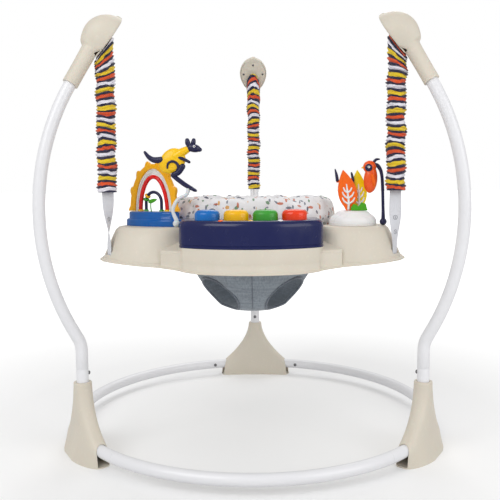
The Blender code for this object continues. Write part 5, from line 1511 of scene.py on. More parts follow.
        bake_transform(marks)


@dataclass
class Console(Assembly):
    """The navy housing with its four domed keys and its moulded marks."""

    half: float = 0.145
    front: float = 0.300
    corner: float = 0.245
    back: float = 0.206
    low: float = 0.438
    high: float = 0.493
    wall: float = 0.0030
    pitch: float = 0.0575
    key: tuple[float, float, float] = (0.0250, 0.0190, 0.021)
    key_row: float = -0.2535
    mark_row: float = -0.2845
    roll: tuple[float, float] = (0.0105, 0.0125)
    crown: float = 0.0100
    cut_corner: float = 0.011

    def build(self) -> None:
        """Make the housing, the keys and the small moulded marks."""
        self.housing()
        for number, (name, finish) in enumerate((("blue", BLUE), ("yellow", YELLOW), ("green", GREEN), ("red", RED))):
            self.dome(name, finish, self.centre(number))
        for name, finish, x in (("orange", ORANGE, -self.pitch), ("yellow", YELLOW, 0.0),
                                ("white", WHITE_TOY, self.pitch)):
            mark = ball(self.middle + Vector((x, self.mark_row + 0.25 * x * x * 3, self.high - 0.0006)),
                        (0.0056, 0.0044, 0.0024), steps=24)
            piece(f"console_mark_{name}", mark, "tray", finish)

    def outline(self, inset: float) -> list[tuple[float, float]]:
        """The housing seen from above, with rounded corners.

        Args:
            inset: How far it is drawn in.

        Returns:
            Its corners, from the right corner of the front, over the front, to the back.
        """
        half, corner = self.half - inset, self.corner - inset
        bow = (self.half ** 2 + (self.front - self.corner) ** 2) / (2 * (self.front - self.corner))
        centre, radius = bow - self.front, bow - inset
        reach = math.asin((half - self.cut_corner) / radius)
        arc = [(radius * math.sin(reach * (1 - step / 20)), centre - radius * math.cos(reach * (1 - step / 20)))
               for step in range(41)]
        back = self.back + inset
        turn = math.asin(half / back)
        rear = [(back * math.sin(turn * (step / 16 - 1)), -back * math.cos(turn * (step / 16 - 1)))
                for step in range(33)]
        corners = []
        for side, end in ((1, arc[0]), (-1, arc[-1])):
            low = (side * half, -corner + 1.6 * self.cut_corner)
            knee = (side * half, (end[1] + low[1]) / 2 - 0.004)
            corners.append([((1 - t) ** 2 * low[0] + 2 * t * (1 - t) * knee[0] + t * t * end[0],
                             (1 - t) ** 2 * low[1] + 2 * t * (1 - t) * knee[1] + t * t * end[1])
                            for t in (0.0, 0.2, 0.4, 0.6, 0.8)])
        return corners[0] + arc + corners[1][::-1] + rear

    def ring(self, inset: float, height: float) -> list[Vector]:
        """The outline at a height."""
        return [self.middle + Vector((x, y, height)) for x, y in self.outline(inset)]

    def centre(self, number: int) -> Vector:
        """The middle of a key, from the left."""
        x = (number - 1.5) * self.pitch
        return self.middle + Vector((x, self.key_row + 0.9 * x * x, 0))

    def oval(self, centre: Vector, grow: float, height: float) -> list[Vector]:
        """A section of a key."""
        wide, deep = self.key[0] + grow, self.key[1] + grow
        return [centre + Vector((wide * math.cos(turn), deep * math.sin(turn), height)) for turn in around(56)]

    def housing(self) -> None:
        """The hollow housing, rolled over at its top edge, with a groove above its foot."""
        across, down = self.roll
        stops = [(0.0, self.low), (0.0, self.low + 0.004), (0.0008, self.low + 0.0048), (0.0008, self.low + 0.0060),
                 (0.0, self.low + 0.0068), (0.0, self.high - down)]
        for turn in quarter(9):
            stops.append((across * (1 - math.cos(turn)), self.high - down + down * math.sin(turn)))
        shape = lofted([self.ring(*stop) for stop in stops])
        item = piece("console_housing_shell", shape, "tray", NAVY, ["console_housing"])
        inner = [(self.wall, self.low - 0.01), (self.wall, self.low), (self.wall, self.high - 0.014),
                 (across + self.wall, self.high - self.wall)]
        cut(item, lofted([self.ring(*stop) for stop in inner]))
        for number in range(4):
            centre = self.centre(number)
            cut(item, lofted([self.oval(centre, 0.0008, height) for height in (self.high - 0.02, self.high + 0.01)]))
            dish = [self.oval(centre, grow, self.high + rise) for grow, rise in
                    ((0.0008, -0.0016), (0.0014, -0.0009), (0.0026, -0.0003), (0.0040, 0.0004))]
            cut(item, lofted(dish))
        crisp(item, 40)

    def dome(self, name: str, finish: Finish, centre: Vector) -> None:
        """A key: its flange under the housing, its skirt and its rounded top.

        Args:
            name: The key's colour.
            finish: What it is made of.
            centre: Its middle.
        """
        under = self.high - self.wall - 0.0003
        stops = [(0.0028, under - 0.0025), (0.0028, under), (0.0, under), (0.0, self.high + 0.0040)]
        for turn in quarter(14):
            stops.append((-self.crown * (1 - math.cos(turn)), self.high + 0.0095 + self.crown * math.sin(turn)))
        stops += [(-0.0130, self.high + 0.0201), (-0.0160, self.high + 0.0204), (-0.0184, self.high + 0.0205)]
        shape = lofted([self.oval(centre, grow, height) for grow, height in stops])
        if name == "green":
            top = centre + Vector((0, 0.001, self.high + self.key[2]))
            joined(shape, limb([top + Vector((0, 0, -0.004)), top + Vector((0.0006, 0, 0.0004))], [0.0020, 0.0016]))
        piece(f"key_{name}_dome", shape, f"key_{name}", finish, [f"key_{name}"])


@dataclass
class SoundModule(Assembly):
    """The speaker box under the console, with its grille and battery door."""

    rings: tuple[tuple[float, int], ...] = ((0.0, 1), (0.0045, 6), (0.0090, 12))
    hole: float = 0.0012

    def build(self) -> None:
        """Make the box, a rounded copy of its CAD node, with a speaker grille."""
        low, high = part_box("sound_module")
        shape = polished("sound_module", 0.0012, 40.0, 3)
        item = piece("sound_module_box", shape, "tray", BLACK, ["sound_module"])
        middle = (low + high) / 2
        for ring, count in self.rings:
            for turn in around(count):
                hole = bmesh.new()
                bmesh.ops.create_cone(hole, cap_ends=True, segments=12, radius1=self.hole, radius2=self.hole,
                                      depth=0.004)
                place = Vector((low.x + 0.016 + ring * math.cos(turn), middle.y + ring * math.sin(turn), low.z + 0.003))
                bmesh.ops.translate(hole, verts=hole.verts, vec=place)
                cut(item, hole)


@dataclass
class Tray(Assembly):
    """The big moulding: its shell, softened at every edge, its rolled lip and its sloping shelves."""

    rim: float = 0.404
    dip: float = 0.016
    shelf: float = 0.428
    lip_steps: int = 720
    ramp_start: float = 0.1360
    ramp_width: float = 0.0472

    def build(self) -> None:
        """Make the tray's skin, its lip and its shelves."""
        shape = polished("tray_shell", 0.0, 30.0)
        shell = BVHTree.FromBMesh(shape)
        item = piece("tray_shell_skin", shape, "tray", BEIGE, ["tray_shell"])
        self.soften(item)
        piece("tray_lip_rolled", self.lip(shell), "tray", BEIGE)
        for side, word in ((-1, "left"), (1, "right")):
            ramp = piece(f"tray_shelf_{word}", self.ramp(side), "tray", BEIGE)
            self.soften(ramp)

    def edge(self, shell: BVHTree, turn: float) -> tuple[float, float]:
        """The rim at an angle, as (distance, height of its lower edge).

        Args:
            shell: The moulding.
            turn: The angle in radians.

        Returns:
            The distance of its wall and the height where the lip starts.
        """
        out = heading(turn)
        start = self.middle + out * 0.6 + Vector((0, 0, self.rim + 0.0030))
        place = shell.ray_cast(start, -out)[0]
        reach = (place - self.middle).dot(out) if place else 0.222
        off = abs((math.degrees(turn) - 270 + 180) % 360 - 180)
        return reach, self.rim - self.dip * eased(clamped((58 - off) / 40))

    def lip(self, shell: BVHTree) -> Shape:
        """A rolled lip that follows the rim, and closes the wall above it."""
        rings = []
        for turn in around(self.lip_steps):
            reach, low = self.edge(shell, turn)
            out = heading(turn)
            top = max(self.rim + 0.0042, low + 0.0070)
            profile = [(-0.0024, low), (0.0030, low - 0.0001), (0.0048, low + 0.0002), (0.0058, low + 0.0012),
                       (0.0058, low + 0.0024), (0.0048, low + 0.0035), (0.0030, low + 0.0041),
                       (0.0014, low + 0.0048), (0.0005, low + 0.0062), (0.0004, top), (-0.0022, top)]
            rings.append([self.middle + out * (reach + across) + Vector((0, 0, height)) for across, height in profile])
        return lofted(rings, closed=True)

    def ramp(self, side: int) -> Shape:
        """A shelf that slopes down from the console's flank and the lobe to the rim.

        Args:
            side: -1 at the left, 1 at the right.

        Returns:
            The shelf.
        """
        foot, rings = self.shelf + 0.0032, []
        for share in shares(24):
            x = self.ramp_start + self.ramp_width * share
            most = self.shelf + (0.0092 if x < 0.1455 else 0.0225)
            front = 0.0012 - 0.228 - 0.015 * (0.200 - x) / 0.055
            crest = self.shelf + 0.0215 - 0.004 * share
            profile = [(front, self.shelf - 0.0040), (front + 0.0006, self.shelf + 0.0006),
                       (front + 0.0030, foot)]
            for part in shares(10)[1:]:
                climb = 0.45 * part + 0.55 * eased(part)
                profile.append((front + 0.003 + 0.052 * part, foot + (crest - self.shelf - 0.0032) * climb))
            profile.append((front + 0.055, self.shelf - 0.0040))
            rings.append([self.middle + Vector((side * x, y, min(height, most))) for y, height in profile])
        return lofted(rings)

    @staticmethod
    def soften(item: bpy.types.Object) -> None:
        """Shade the shell smoothly but keep its steps crisp, and round their edges a little."""
        finished(item, bevel=0.0012)
        crisp(item, 32)


def slab(outline: Sequence[tuple[float, float]], base: Vector, along: Vector, thick: float, rounding: float = 0.0
         ) -> Shape:
    """A flat plate that stands on edge, cut to an outline, with rounded rims.

    Args:
        outline: Its corners, as (along, up) points.
        base: Where (0, 0) lies, in the middle of its thickness.
        along: The level direction in its plane.
        thick: Its thickness.
        rounding: Width of the rounding.

    Returns:
        The plate.
    """
    shape = bmesh.new()
    bmesh.ops.create_circle(shape, segments=len(outline), radius=1.0, cap_ends=True)
    over = UP.cross(along)
    for point, (right, up) in zip(shape.verts, outline):
        point.co = base + along * right + Vector((0, 0, up)) - over * thick / 2
    thickened(shape, over * thick)
    if rounding:
        rims = [edge for edge in shape.edges if edge.calc_face_angle(0.0) > math.radians(70)]
        bmesh.ops.bevel(shape, geom=rims, offset=rounding, segments=3, profile=0.5, affect="EDGES", material=-1,
                        clamp_overlap=True)
    return shape


def band(outer: tuple[float, float], inner: tuple[float, float], thick: float, spot: Callable[..., Vector],
         steps: int = 72, knob: Callable[[float], float] = lambda turn: 1.0) -> Shape:
    """A half-ellipse band on its two ends, with a rounded section.

    Args:
        outer: The outer half width and height.
        inner: The inner half width and height.
        thick: Its thickness.
        spot: Turns (along, up, back) into a place.
        steps: Steps along it.
        knob: How far the outer edge is pushed out at an angle, as a factor.

    Returns:
        The band.
    """
    rings = []
    for step in range(steps + 1):
        turn = math.pi * step / steps
        far = [size * knob(turn) for size in outer]
        ring = []
        for spin in around(24, 0.5):
            share = 0.5 + 0.5 * squared(math.cos(spin), 0.5)
            back = thick / 2 * squared(math.sin(spin), 0.5)
            wide, high = [near + (edge - near) * share for near, edge in zip(inner, far)]
            ring.append(spot(wide * math.cos(turn), high * math.sin(turn), back))
        rings.append(ring)
    return lofted(rings)


@dataclass
class SunToy(Assembly):
    """The left lobe's toy: a stepped base, a sun arch with its panel, two rails and two beads."""

    along: Vector = field(default_factory=lambda: Vector((math.cos(math.radians(-30)), -0.5, 0)))
    sun: tuple[float, float] = (0.064, 0.102)
    band: tuple[float, float] = (0.014, 0.011)
    red: tuple[float, float] = (0.0365, 0.074)
    navy: tuple[float, float, float] = (0.021, 0.020, 0.0034)

    def build(self) -> None:
        """Make the base, the arches and the beads."""
        low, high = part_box("toy_base_blue")
        self.foot = Vector(((low.x + high.x) / 2, (low.y + high.y) / 2, 0))
        self.floor, self.top = low.z, high.z
        self.over = UP.cross(self.along)
        self.base()
        self.arches()
        self.beads()
        self.trims()

    def spot(self, right: float, up: float, back: float = 0.0) -> Vector:
        """A point over the base's top."""
        return self.foot + self.along * right + self.over * back + Vector((0, 0, self.top + 0.0003 + up))

    def oval(self, length: float, width: float, height: float) -> list[Vector]:
        """A rounded-oblong section of the base."""
        return [self.foot + self.along * length * squared(math.cos(turn), 0.8)
                + self.over * width * squared(math.sin(turn), 0.8) + Vector((0, 0, height)) for turn in around(96)]

    def base(self) -> None:
        """The glossy base with its step and its rolled edges."""
        stops = [(0.0, 0.0), (0.0, 0.0004), (0.0, 0.0110), (0.0006, 0.0132), (0.0020, 0.0148), (0.0040, 0.0154),
                 (0.0056, 0.0158), (0.0060, 0.0166), (0.0060, 0.0268), (0.0066, 0.0288), (0.0082, 0.0302),
                 (0.0105, 0.0308), (0.0140, 0.0309)]
        rings = [self.oval(0.071 - inset, 0.028 - inset, self.floor + rise) for inset, rise in stops]
        piece("toy_base_stepped", lofted(rings), "tray", BASE_BLUE, ["toy_base_blue"])

    def arches(self) -> None:
        """The sun with its knobs, the milky panel inside it and the two rails."""
        inner = (self.sun[0] - self.band[0], self.sun[1] - self.band[1])
        rays = band(self.sun, inner, 0.010, self.spot, 252,
                    lambda turn: 1 + 0.080 * max(0.0, math.cos(turn * 14)) ** 1.1)
        piece("sun_arch_rays", rays, "tray", SUN, ["sun_arch"])
        outer = (inner[0] - 0.0006, inner[1] - 0.0006)
        hole = (self.red[0] + 0.0053, self.red[1] + 0.0053)
        piece("arch_window_panel", band(outer, hole, 0.003, self.spot), "tray", FROSTED, ["arch_window"])
        turns = [math.pi * step / 48 for step in range(49)]
        path = [self.spot(self.red[0] * math.cos(turn), self.red[1] * math.sin(turn)) for turn in turns]
        piece("red_rail_tube", sweep(frames(path, [0.0045] * 49, self.over), 28), "tray", RAIL_RED, ["red_rail"])
        radius, leg, tube = self.navy
        path = [self.spot(radius, 0.0), self.spot(radius, leg / 2)]
        path += [self.spot(radius * math.cos(turn), leg + radius * math.sin(turn)) for turn in turns]
        path += [self.spot(-radius, leg / 2), self.spot(-radius, 0.0)]
        piece("navy_rail_tube", sweep(frames(path, [tube] * len(path), self.over), 24), "tray", NAVY_TOY,
              ["navy_rail"])

    def beads(self) -> None:
        """Two rounded beads threaded on the navy rail."""
        radius, leg, tube = self.navy
        for index, (name, finish) in enumerate((("green", GREEN), ("yellow", YELLOW))):
            turn = math.radians(180 - 14.0) - index * 0.0061 / (radius - 0.0068)
            out = self.along * math.cos(turn) + UP * math.sin(turn)
            way = self.along * math.sin(turn) - UP * math.cos(turn)
            centre = self.spot(0, leg) + out * radius
            bore, outer, half = tube + 0.0008, 0.0068, 0.00275
            profile = [(bore, -half * 0.8), (bore + 0.0006, -half)]
            profile += [(bore + 0.0006 + (outer - bore - 0.0006) * math.cos(a), half * math.sin(a))
                        for a in [math.radians(-78 + 12 * step) for step in range(14)]]
            profile += [(bore + 0.0006, half), (bore, half * 0.8)]
            rings = [[centre + way * rise + (out * math.cos(spin) + self.over * math.sin(spin)) * reach
                      for spin in around(36)] for reach, rise in profile]
            piece(f"bead_{name}_turned", lofted(rings, closed=True), "beads", finish, [f"bead_{name}"])

    def trims(self) -> None:
        """A little leaf, a cream tendril on the panel and collars on the rails' feet."""
        leaf = [(0.012 * math.cos(turn), 0.0042 * math.sin(turn) * (1 - 0.25 * math.cos(turn)))
                for turn in around(40)]
        shape = slab(leaf, Vector((0, 0, 0)), Vector((1, 0, 0)), 0.0022, 0.0007)
        place = Matrix.Translation(self.spot(0.0005, 0.0225, -0.0045)) @ Matrix.Rotation(
            math.radians(-30), 4, "Z") @ Matrix.Rotation(math.radians(-16), 4, "Y")
        stem = bent(self.spot, ((-0.004, 0.0, -0.0040), (-0.0055, 0.0110, -0.0040), (-0.0040, 0.0215, -0.0042)),
                    (0.0013, 0.0012, 0.0011), side=self.over)
        joined(moved(shape, place), stem)
        piece("toy_leaf_small", shape, "tray", LEAF_GREEN)
        cream = [self.spot(x, z, -0.0026) for x, z in ((-0.004, 0.083), (-0.020, 0.078), (-0.033, 0.062),
                                                       (-0.041, 0.040), (-0.0435, 0.016))]
        piece("toy_tendril", limb(cream, [0.0011, 0.0014, 0.0014, 0.0013, 0.0010], self.over), "tray", WHITE_TOY)
        for rail, reach, finish, size in (("red", self.red[0], YELLOW, 0.0066), ("navy", self.navy[0], GREEN, 0.0052)):
            profile = [(size * 0.55, 0.0), (size, 0.0), (size, 0.0022), (size * 0.86, 0.0034), (size * 0.55, 0.0038)]
            for word, way in (("left", -1), ("right", 1)):
                piece(f"toy_collar_{rail}_{word}", spun(profile, self.spot(way * reach, 0.0), 36), "tray", finish)


@dataclass
class Hopper(Assembly):
    """A hopping animal on a frosted, springy stalk."""

    def build(self) -> None:
        """Make the body, the head with ears, the tail, the legs and the stalk."""
        low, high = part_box("hopper_body")
        centre = (low + high) / 2
        x, y = centre.x - 0.002, centre.y
        at = counted_from(x, y, centre.z)
        body = ball(at(0.001, -0.001), (0.0236, 0.0098, 0.0300), 52, 0.10, 48)
        joined(body, bent(at, ((0.008, 0.008), (0.020, 0.016), (0.034, 0.0235)), (0.0105, 0.0094, 0.0068)))
        joined(body, ball(at(-0.002, -0.0145, -0.0022), (0.0105, 0.0062, 0.0085), 20))
        piece("hopper_body_egg", body, "hopper", HOPPER_YELLOW, ["hopper_body"])
        limbs = bent(at, ((0.002, -0.030), (0.012, -0.038), (0.028, -0.050), (0.042, -0.058)),
                     (0.0045, 0.0050, 0.0050, 0.0042))
        foot = ball(at(0.0445, -0.0595), (0.0085, 0.0062, 0.0038), 28)
        thigh = bent(at, ((0.004, -0.028, -0.002), (0.014, -0.024, -0.003), (0.022, -0.012, -0.002)),
                     (0.0050, 0.0062, 0.0070))
        tail = bent(at, ((-0.020, 0.002), (-0.036, 0.002), (-0.047, 0.008), (-0.055, 0.018)),
                    (0.0070, 0.0062, 0.0048, 0.0028))
        head = ball(at(0.046, 0.026), (0.0155, 0.0086, 0.0088), 12, 0.0, 40)
        snout = ball(at(0.0575, 0.0228), (0.0062, 0.0056, 0.0050), 12)
        ear = bent(at, ((0.037, 0.030, -0.002), (0.0345, 0.036, -0.002), (0.0335, 0.0415, -0.002)),
                   (0.0044, 0.0056, 0.0046))
        far = bent(at, ((0.043, 0.031, 0.002), (0.0455, 0.037, 0.002), (0.0465, 0.0420, 0.002)),
                   (0.0040, 0.0052, 0.0042))
        curl = bent(at, ((-0.0080, -0.0150, -0.0078), (-0.0060, -0.0060, -0.0098), (0.0020, -0.0015, -0.0100),
                         (0.0110, -0.0050, -0.0085), (0.0150, -0.0150, -0.0060), (0.0090, -0.0270, -0.0030)),
                    (0.0018, 0.0024, 0.0027, 0.0030, 0.0036, 0.0044))
        arm = bent(at, ((0.016, 0.006, -0.0055), (0.028, 0.002, -0.0065), (0.037, -0.003, -0.004)),
                   (0.0038, 0.0034, 0.0030))
        neck = bent(at, ((0.034, 0.0235), (0.040, 0.026)), (0.0064, 0.0068))
        joined(limbs, foot, thigh, tail, head, snout, ear, far, arm, neck, curl)
        piece("hopper_limbs_joined", limbs, "hopper", NAVY_TOY, ["hopper_limbs"])
        for side, back in (("front", -0.0078), ("back", 0.0078)):
            dot(f"hopper_eye_{side}", "hopper", WHITE_TOY, at(0.0480, 0.0285, back), 0.0028, 0.0012)
            dot(f"hopper_pupil_{side}", "hopper", BLACK, at(0.0485, 0.0285, back * 1.13), 0.0013, 0.0006)
        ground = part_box("hopper_stalk")[0].z
        self.stalk(x, y, ground)

    @staticmethod
    def stalk(x: float, y: float, ground: float) -> None:
        """The bent stalk with the ball that it turns on."""
        points = [Vector((x + right, y, ground + up)) for right, up in (
            (0.008, STALK_BALL), (0.008, 0.014), (0.001, 0.036), (0.012, 0.058), (0.030, 0.068), (0.034, 0.079))]
        shape = limb(points, [0.0055, 0.0048, 0.0038, 0.0038, 0.0038, 0.0038, 0.0038], steps=14)
        joined(shape, ball(points[0], [STALK_BALL] * 3))
        piece("hopper_stalk_bent", shape, "hopper", STALK_WHITE, ["hopper_stalk"])


@dataclass
class LeafToy(Assembly):
    """The right lobe's toy: a white hill with two inlaid leaves and two bushes."""

    def build(self) -> None:
        """Make the hill, the leaves with their veins and the bushes."""
        low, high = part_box("hill_base")
        self.foot = Vector(((low.x + high.x) / 2, (low.y + high.y) / 2, 0))
        self.top = high.z
        profile = [(0.0498, low.z), (0.0500, low.z + 0.0004), (0.0500, low.z + 0.0090), (0.0494, low.z + 0.0118),
                   (0.0478, low.z + 0.0150), (0.0456, low.z + 0.0180), (0.0420, low.z + 0.0206),
                   (0.0380, low.z + 0.0232), (0.0362, self.top - 0.0054), (0.0340, self.top - 0.0030),
                   (0.0310, self.top - 0.0013), (0.0278, self.top - 0.0004), (0.0240, self.top), (0.0001, self.top)]
        piece("hill_base_turned", spun(profile, self.foot, 72, closed=False), "tray", WHITE_TOY, ["hill_base"])
        ridge = spun([(0.0500, low.z + 0.0040), (0.0506, low.z + 0.0048), (0.0506, low.z + 0.0056),
                      (0.0500, low.z + 0.0064)], self.foot, 72)
        piece("hill_base_ridge", ridge, "tray", WHITE_TOY)
        self.leaf("leaf_orange", ORANGE, 0.0205, 0.086, -0.010, -0.007, 0.012)
        self.leaf("leaf_yellow", LEAF_YELLOW, 0.0175, 0.086, 0.014, 0.006, 0.004)
        self.tip()
        self.bushes()

    def leaf(self, name: str, finish: Finish, half: float, height: float, across: float, behind: float,
             lean: float) -> None:
        """A leaf with a raised white vein on each face.

        Args:
            name: The CAD node that it stands for.
            finish: What it is made of.
            half: Its half width.
            height: How tall it stands.
            across: Its place to the right of the hill's middle.
            behind: Its place behind it.
            lean: How far its tip leans to the left.
        """
        right, left = [], []
        for share in shares(48):
            width = max(half * math.sin(math.pi * (0.08 + 0.92 * share) ** 0.80) ** 0.85, 0.0008)
            middle = -lean * share * share
            right.append((middle + width, height * (0.10 + 0.90 * share)))
            left.append((middle - width, height * (0.10 + 0.90 * share)))
        stem = half * 0.24
        outline = [(-stem, 0.0), (stem, 0.0), *right, *left[::-1]]
        base = self.foot + Vector((across, behind, self.top + 0.0003))
        piece(f"{name}_blade", slab(outline, base, Vector((1, 0, 0)), 0.006, 0.0016), "tray", finish, [name])
        for side in (-1, 1):
            def at(right_of: float, up: float) -> Vector:
                """A point on the leaf's face."""
                return base + Vector((right_of, side * 0.0031, height * up))
            veins = bent(at, ((0.0, 0.04), (0.0, 0.25), (-lean * 0.2, 0.45), (-lean * 0.4, 0.64)),
                         (0.0026, 0.0025, 0.0022, 0.0014), sides=12, steps=5)
            for up, reach, rise in ((0.16, 0.62, 0.15), (0.30, 0.58, 0.15), (0.44, 0.42, 0.12)):
                for way in (-1, 1):
                    shift = -lean * up * up
                    rows = ((shift, up), (shift + way * half * reach * 0.7, up + rise * 0.45),
                            (shift + way * half * reach, up + rise))
                    joined(veins, bent(at, rows, (0.0020, 0.0020, 0.0014), sides=12, steps=5))
            piece(f"{name}_veins_{'back' if side > 0 else 'front'}", veins, "tray", WHITE_TOY)

    def tip(self) -> None:
        """A tail of the big bird behind the leaves: a navy tip at the left on a brown bar."""
        def at(right: float, up: float) -> Vector:
            """A point behind the orange leaf, counted from the hill's middle."""
            return self.foot + Vector((right, -0.0005, self.top + up))

        bar = bent(at, ((-0.0330, 0.0620), (-0.0200, 0.0640), (-0.0030, 0.0660)), (0.0026, 0.0028, 0.0026))
        piece("bird_tail_bar", bar, "tray", ORANGE)
        navy = bent(at, ((-0.0330, 0.0640), (-0.0350, 0.0760), (-0.0380, 0.0880)), (0.0036, 0.0032, 0.0012))
        joined(navy, bent(at, ((-0.0030, 0.0800), (0.0, 0.0660), (-0.0010, 0.0560)), (0.0020, 0.0034, 0.0024)))
        piece("bird_tail_tip", navy, "tray", NAVY_TOY)

    def bushes(self) -> None:
        """Two low round bushes, cut as one plate with rounded edges."""
        outline = []
        for across, size, first, last in ((0.019, 0.0100, 0, 148), (0.002, 0.0080, 42, 180)):
            for step in range(25):
                turn = math.radians(first + (last - first) * step / 24)
                scallop = 1 + 0.06 * math.cos(turn * 7)
                outline.append((across + size * scallop * math.cos(turn), size * 1.7 * scallop * math.sin(turn)))
        base = self.foot + Vector((0, -0.0155, self.top + 0.0003))
        piece("bushes_green_cut", slab(outline, base, Vector((1, 0, 0)), 0.005, 0.0014), "tray", LEAF_GREEN,
              ["bushes_green"])


@dataclass
class Bird(Assembly):
    """An orange bird hung on the tip of a navy stalk."""

    def build(self) -> None:
        """Make the bird, its eye patches and its stalk."""
        low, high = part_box("bird_body")
        x, y = low.x + 0.0170, (low.y + high.y) / 2
        at = counted_from(x, y, low.z + 0.0300)
        body = ball(at(-0.001, 0.0), (0.0143, 0.0099, 0.0298), 4, -0.05, 48)
        joined(body, ball(at(-0.003, 0.025), (0.0139, 0.0094, 0.0134), 0, 0, 40))
        piece("bird_body_egg", body, "bird", BIRD_ORANGE, ["bird_body"])
        piece("bird_beak", bent(at, ((-0.0150, 0.0245), (-0.0195, 0.0232)), (0.0030, 0.0012)), "bird", YELLOW)
        patches = []
        for side, back in (("front", -1), ("back", 1)):
            wing = bent(at, ((0.0015, 0.006, back * 0.0082), (0.0050, -0.006, back * 0.0086),
                             (0.0060, -0.017, back * 0.0062)), (0.0042, 0.0044, 0.0022))
            piece(f"bird_wing_{side}", wing, "bird", ORANGE)
            patches.append(ball(at(-0.006, 0.0235, back * 0.0074), (0.0080, 0.0038, 0.0080)))
            dot(f"bird_eye_{side}", "bird", WHITE_TOY, at(-0.0064, 0.0246, back * 0.0110), 0.0026, 0.0009)
            dot(f"bird_pupil_{side}", "bird", BLACK, at(-0.0068, 0.0246, back * 0.0117), 0.0012, 0.0005)
        low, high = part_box("bird_stalk")
        base = Vector((high.x - STALK_BALL, y, low.z + STALK_BALL))
        points = [base, Vector((x + 0.026, y, low.z + 0.035)), at(0.023, 0.004), at(0.015, 0.026), at(0.004, 0.030)]
        shape = limb(points, [0.0048, 0.0034, 0.0034, 0.0042, 0.0042], steps=14)
        crest = bent(at, ((0.004, 0.033), (0.010, 0.040), (0.017, 0.041)), (0.0034, 0.0030, 0.0016))
        joined(shape, ball(base, [STALK_BALL] * 3), *patches, crest)
        piece("bird_stalk_bent", shape, "bird", NAVY_TOY, ["bird_stalk"])


@dataclass
class SeatRing(Assembly):
    """The grey swivel ring that carries the roll and the pouch."""

    def build(self) -> None:
        """Turn the ring's flange and neck, with softened edges."""
        low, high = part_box("seat_ring")
        flange, neck, wall = (high.x - low.x) / 2, 0.1645, 0.0040
        top, under = high.z, high.z - 0.0045
        profile = [(neck - wall, low.z + 0.0008), (neck - wall + 0.0008, low.z), (neck - 0.0008, low.z),
                   (neck, low.z + 0.0008), (neck, under), (flange - 0.0006, under), (flange, under + 0.0006),
                   (flange, top - 0.0016), (flange - 0.0006, top - 0.0005), (flange - 0.0018, top),
                   (neck - wall + 0.0008, top), (neck - wall, top - 0.0008)]
        piece("seat_ring_turned", spun(profile, self.middle, 120), "seat", GREY, ["seat_ring"])


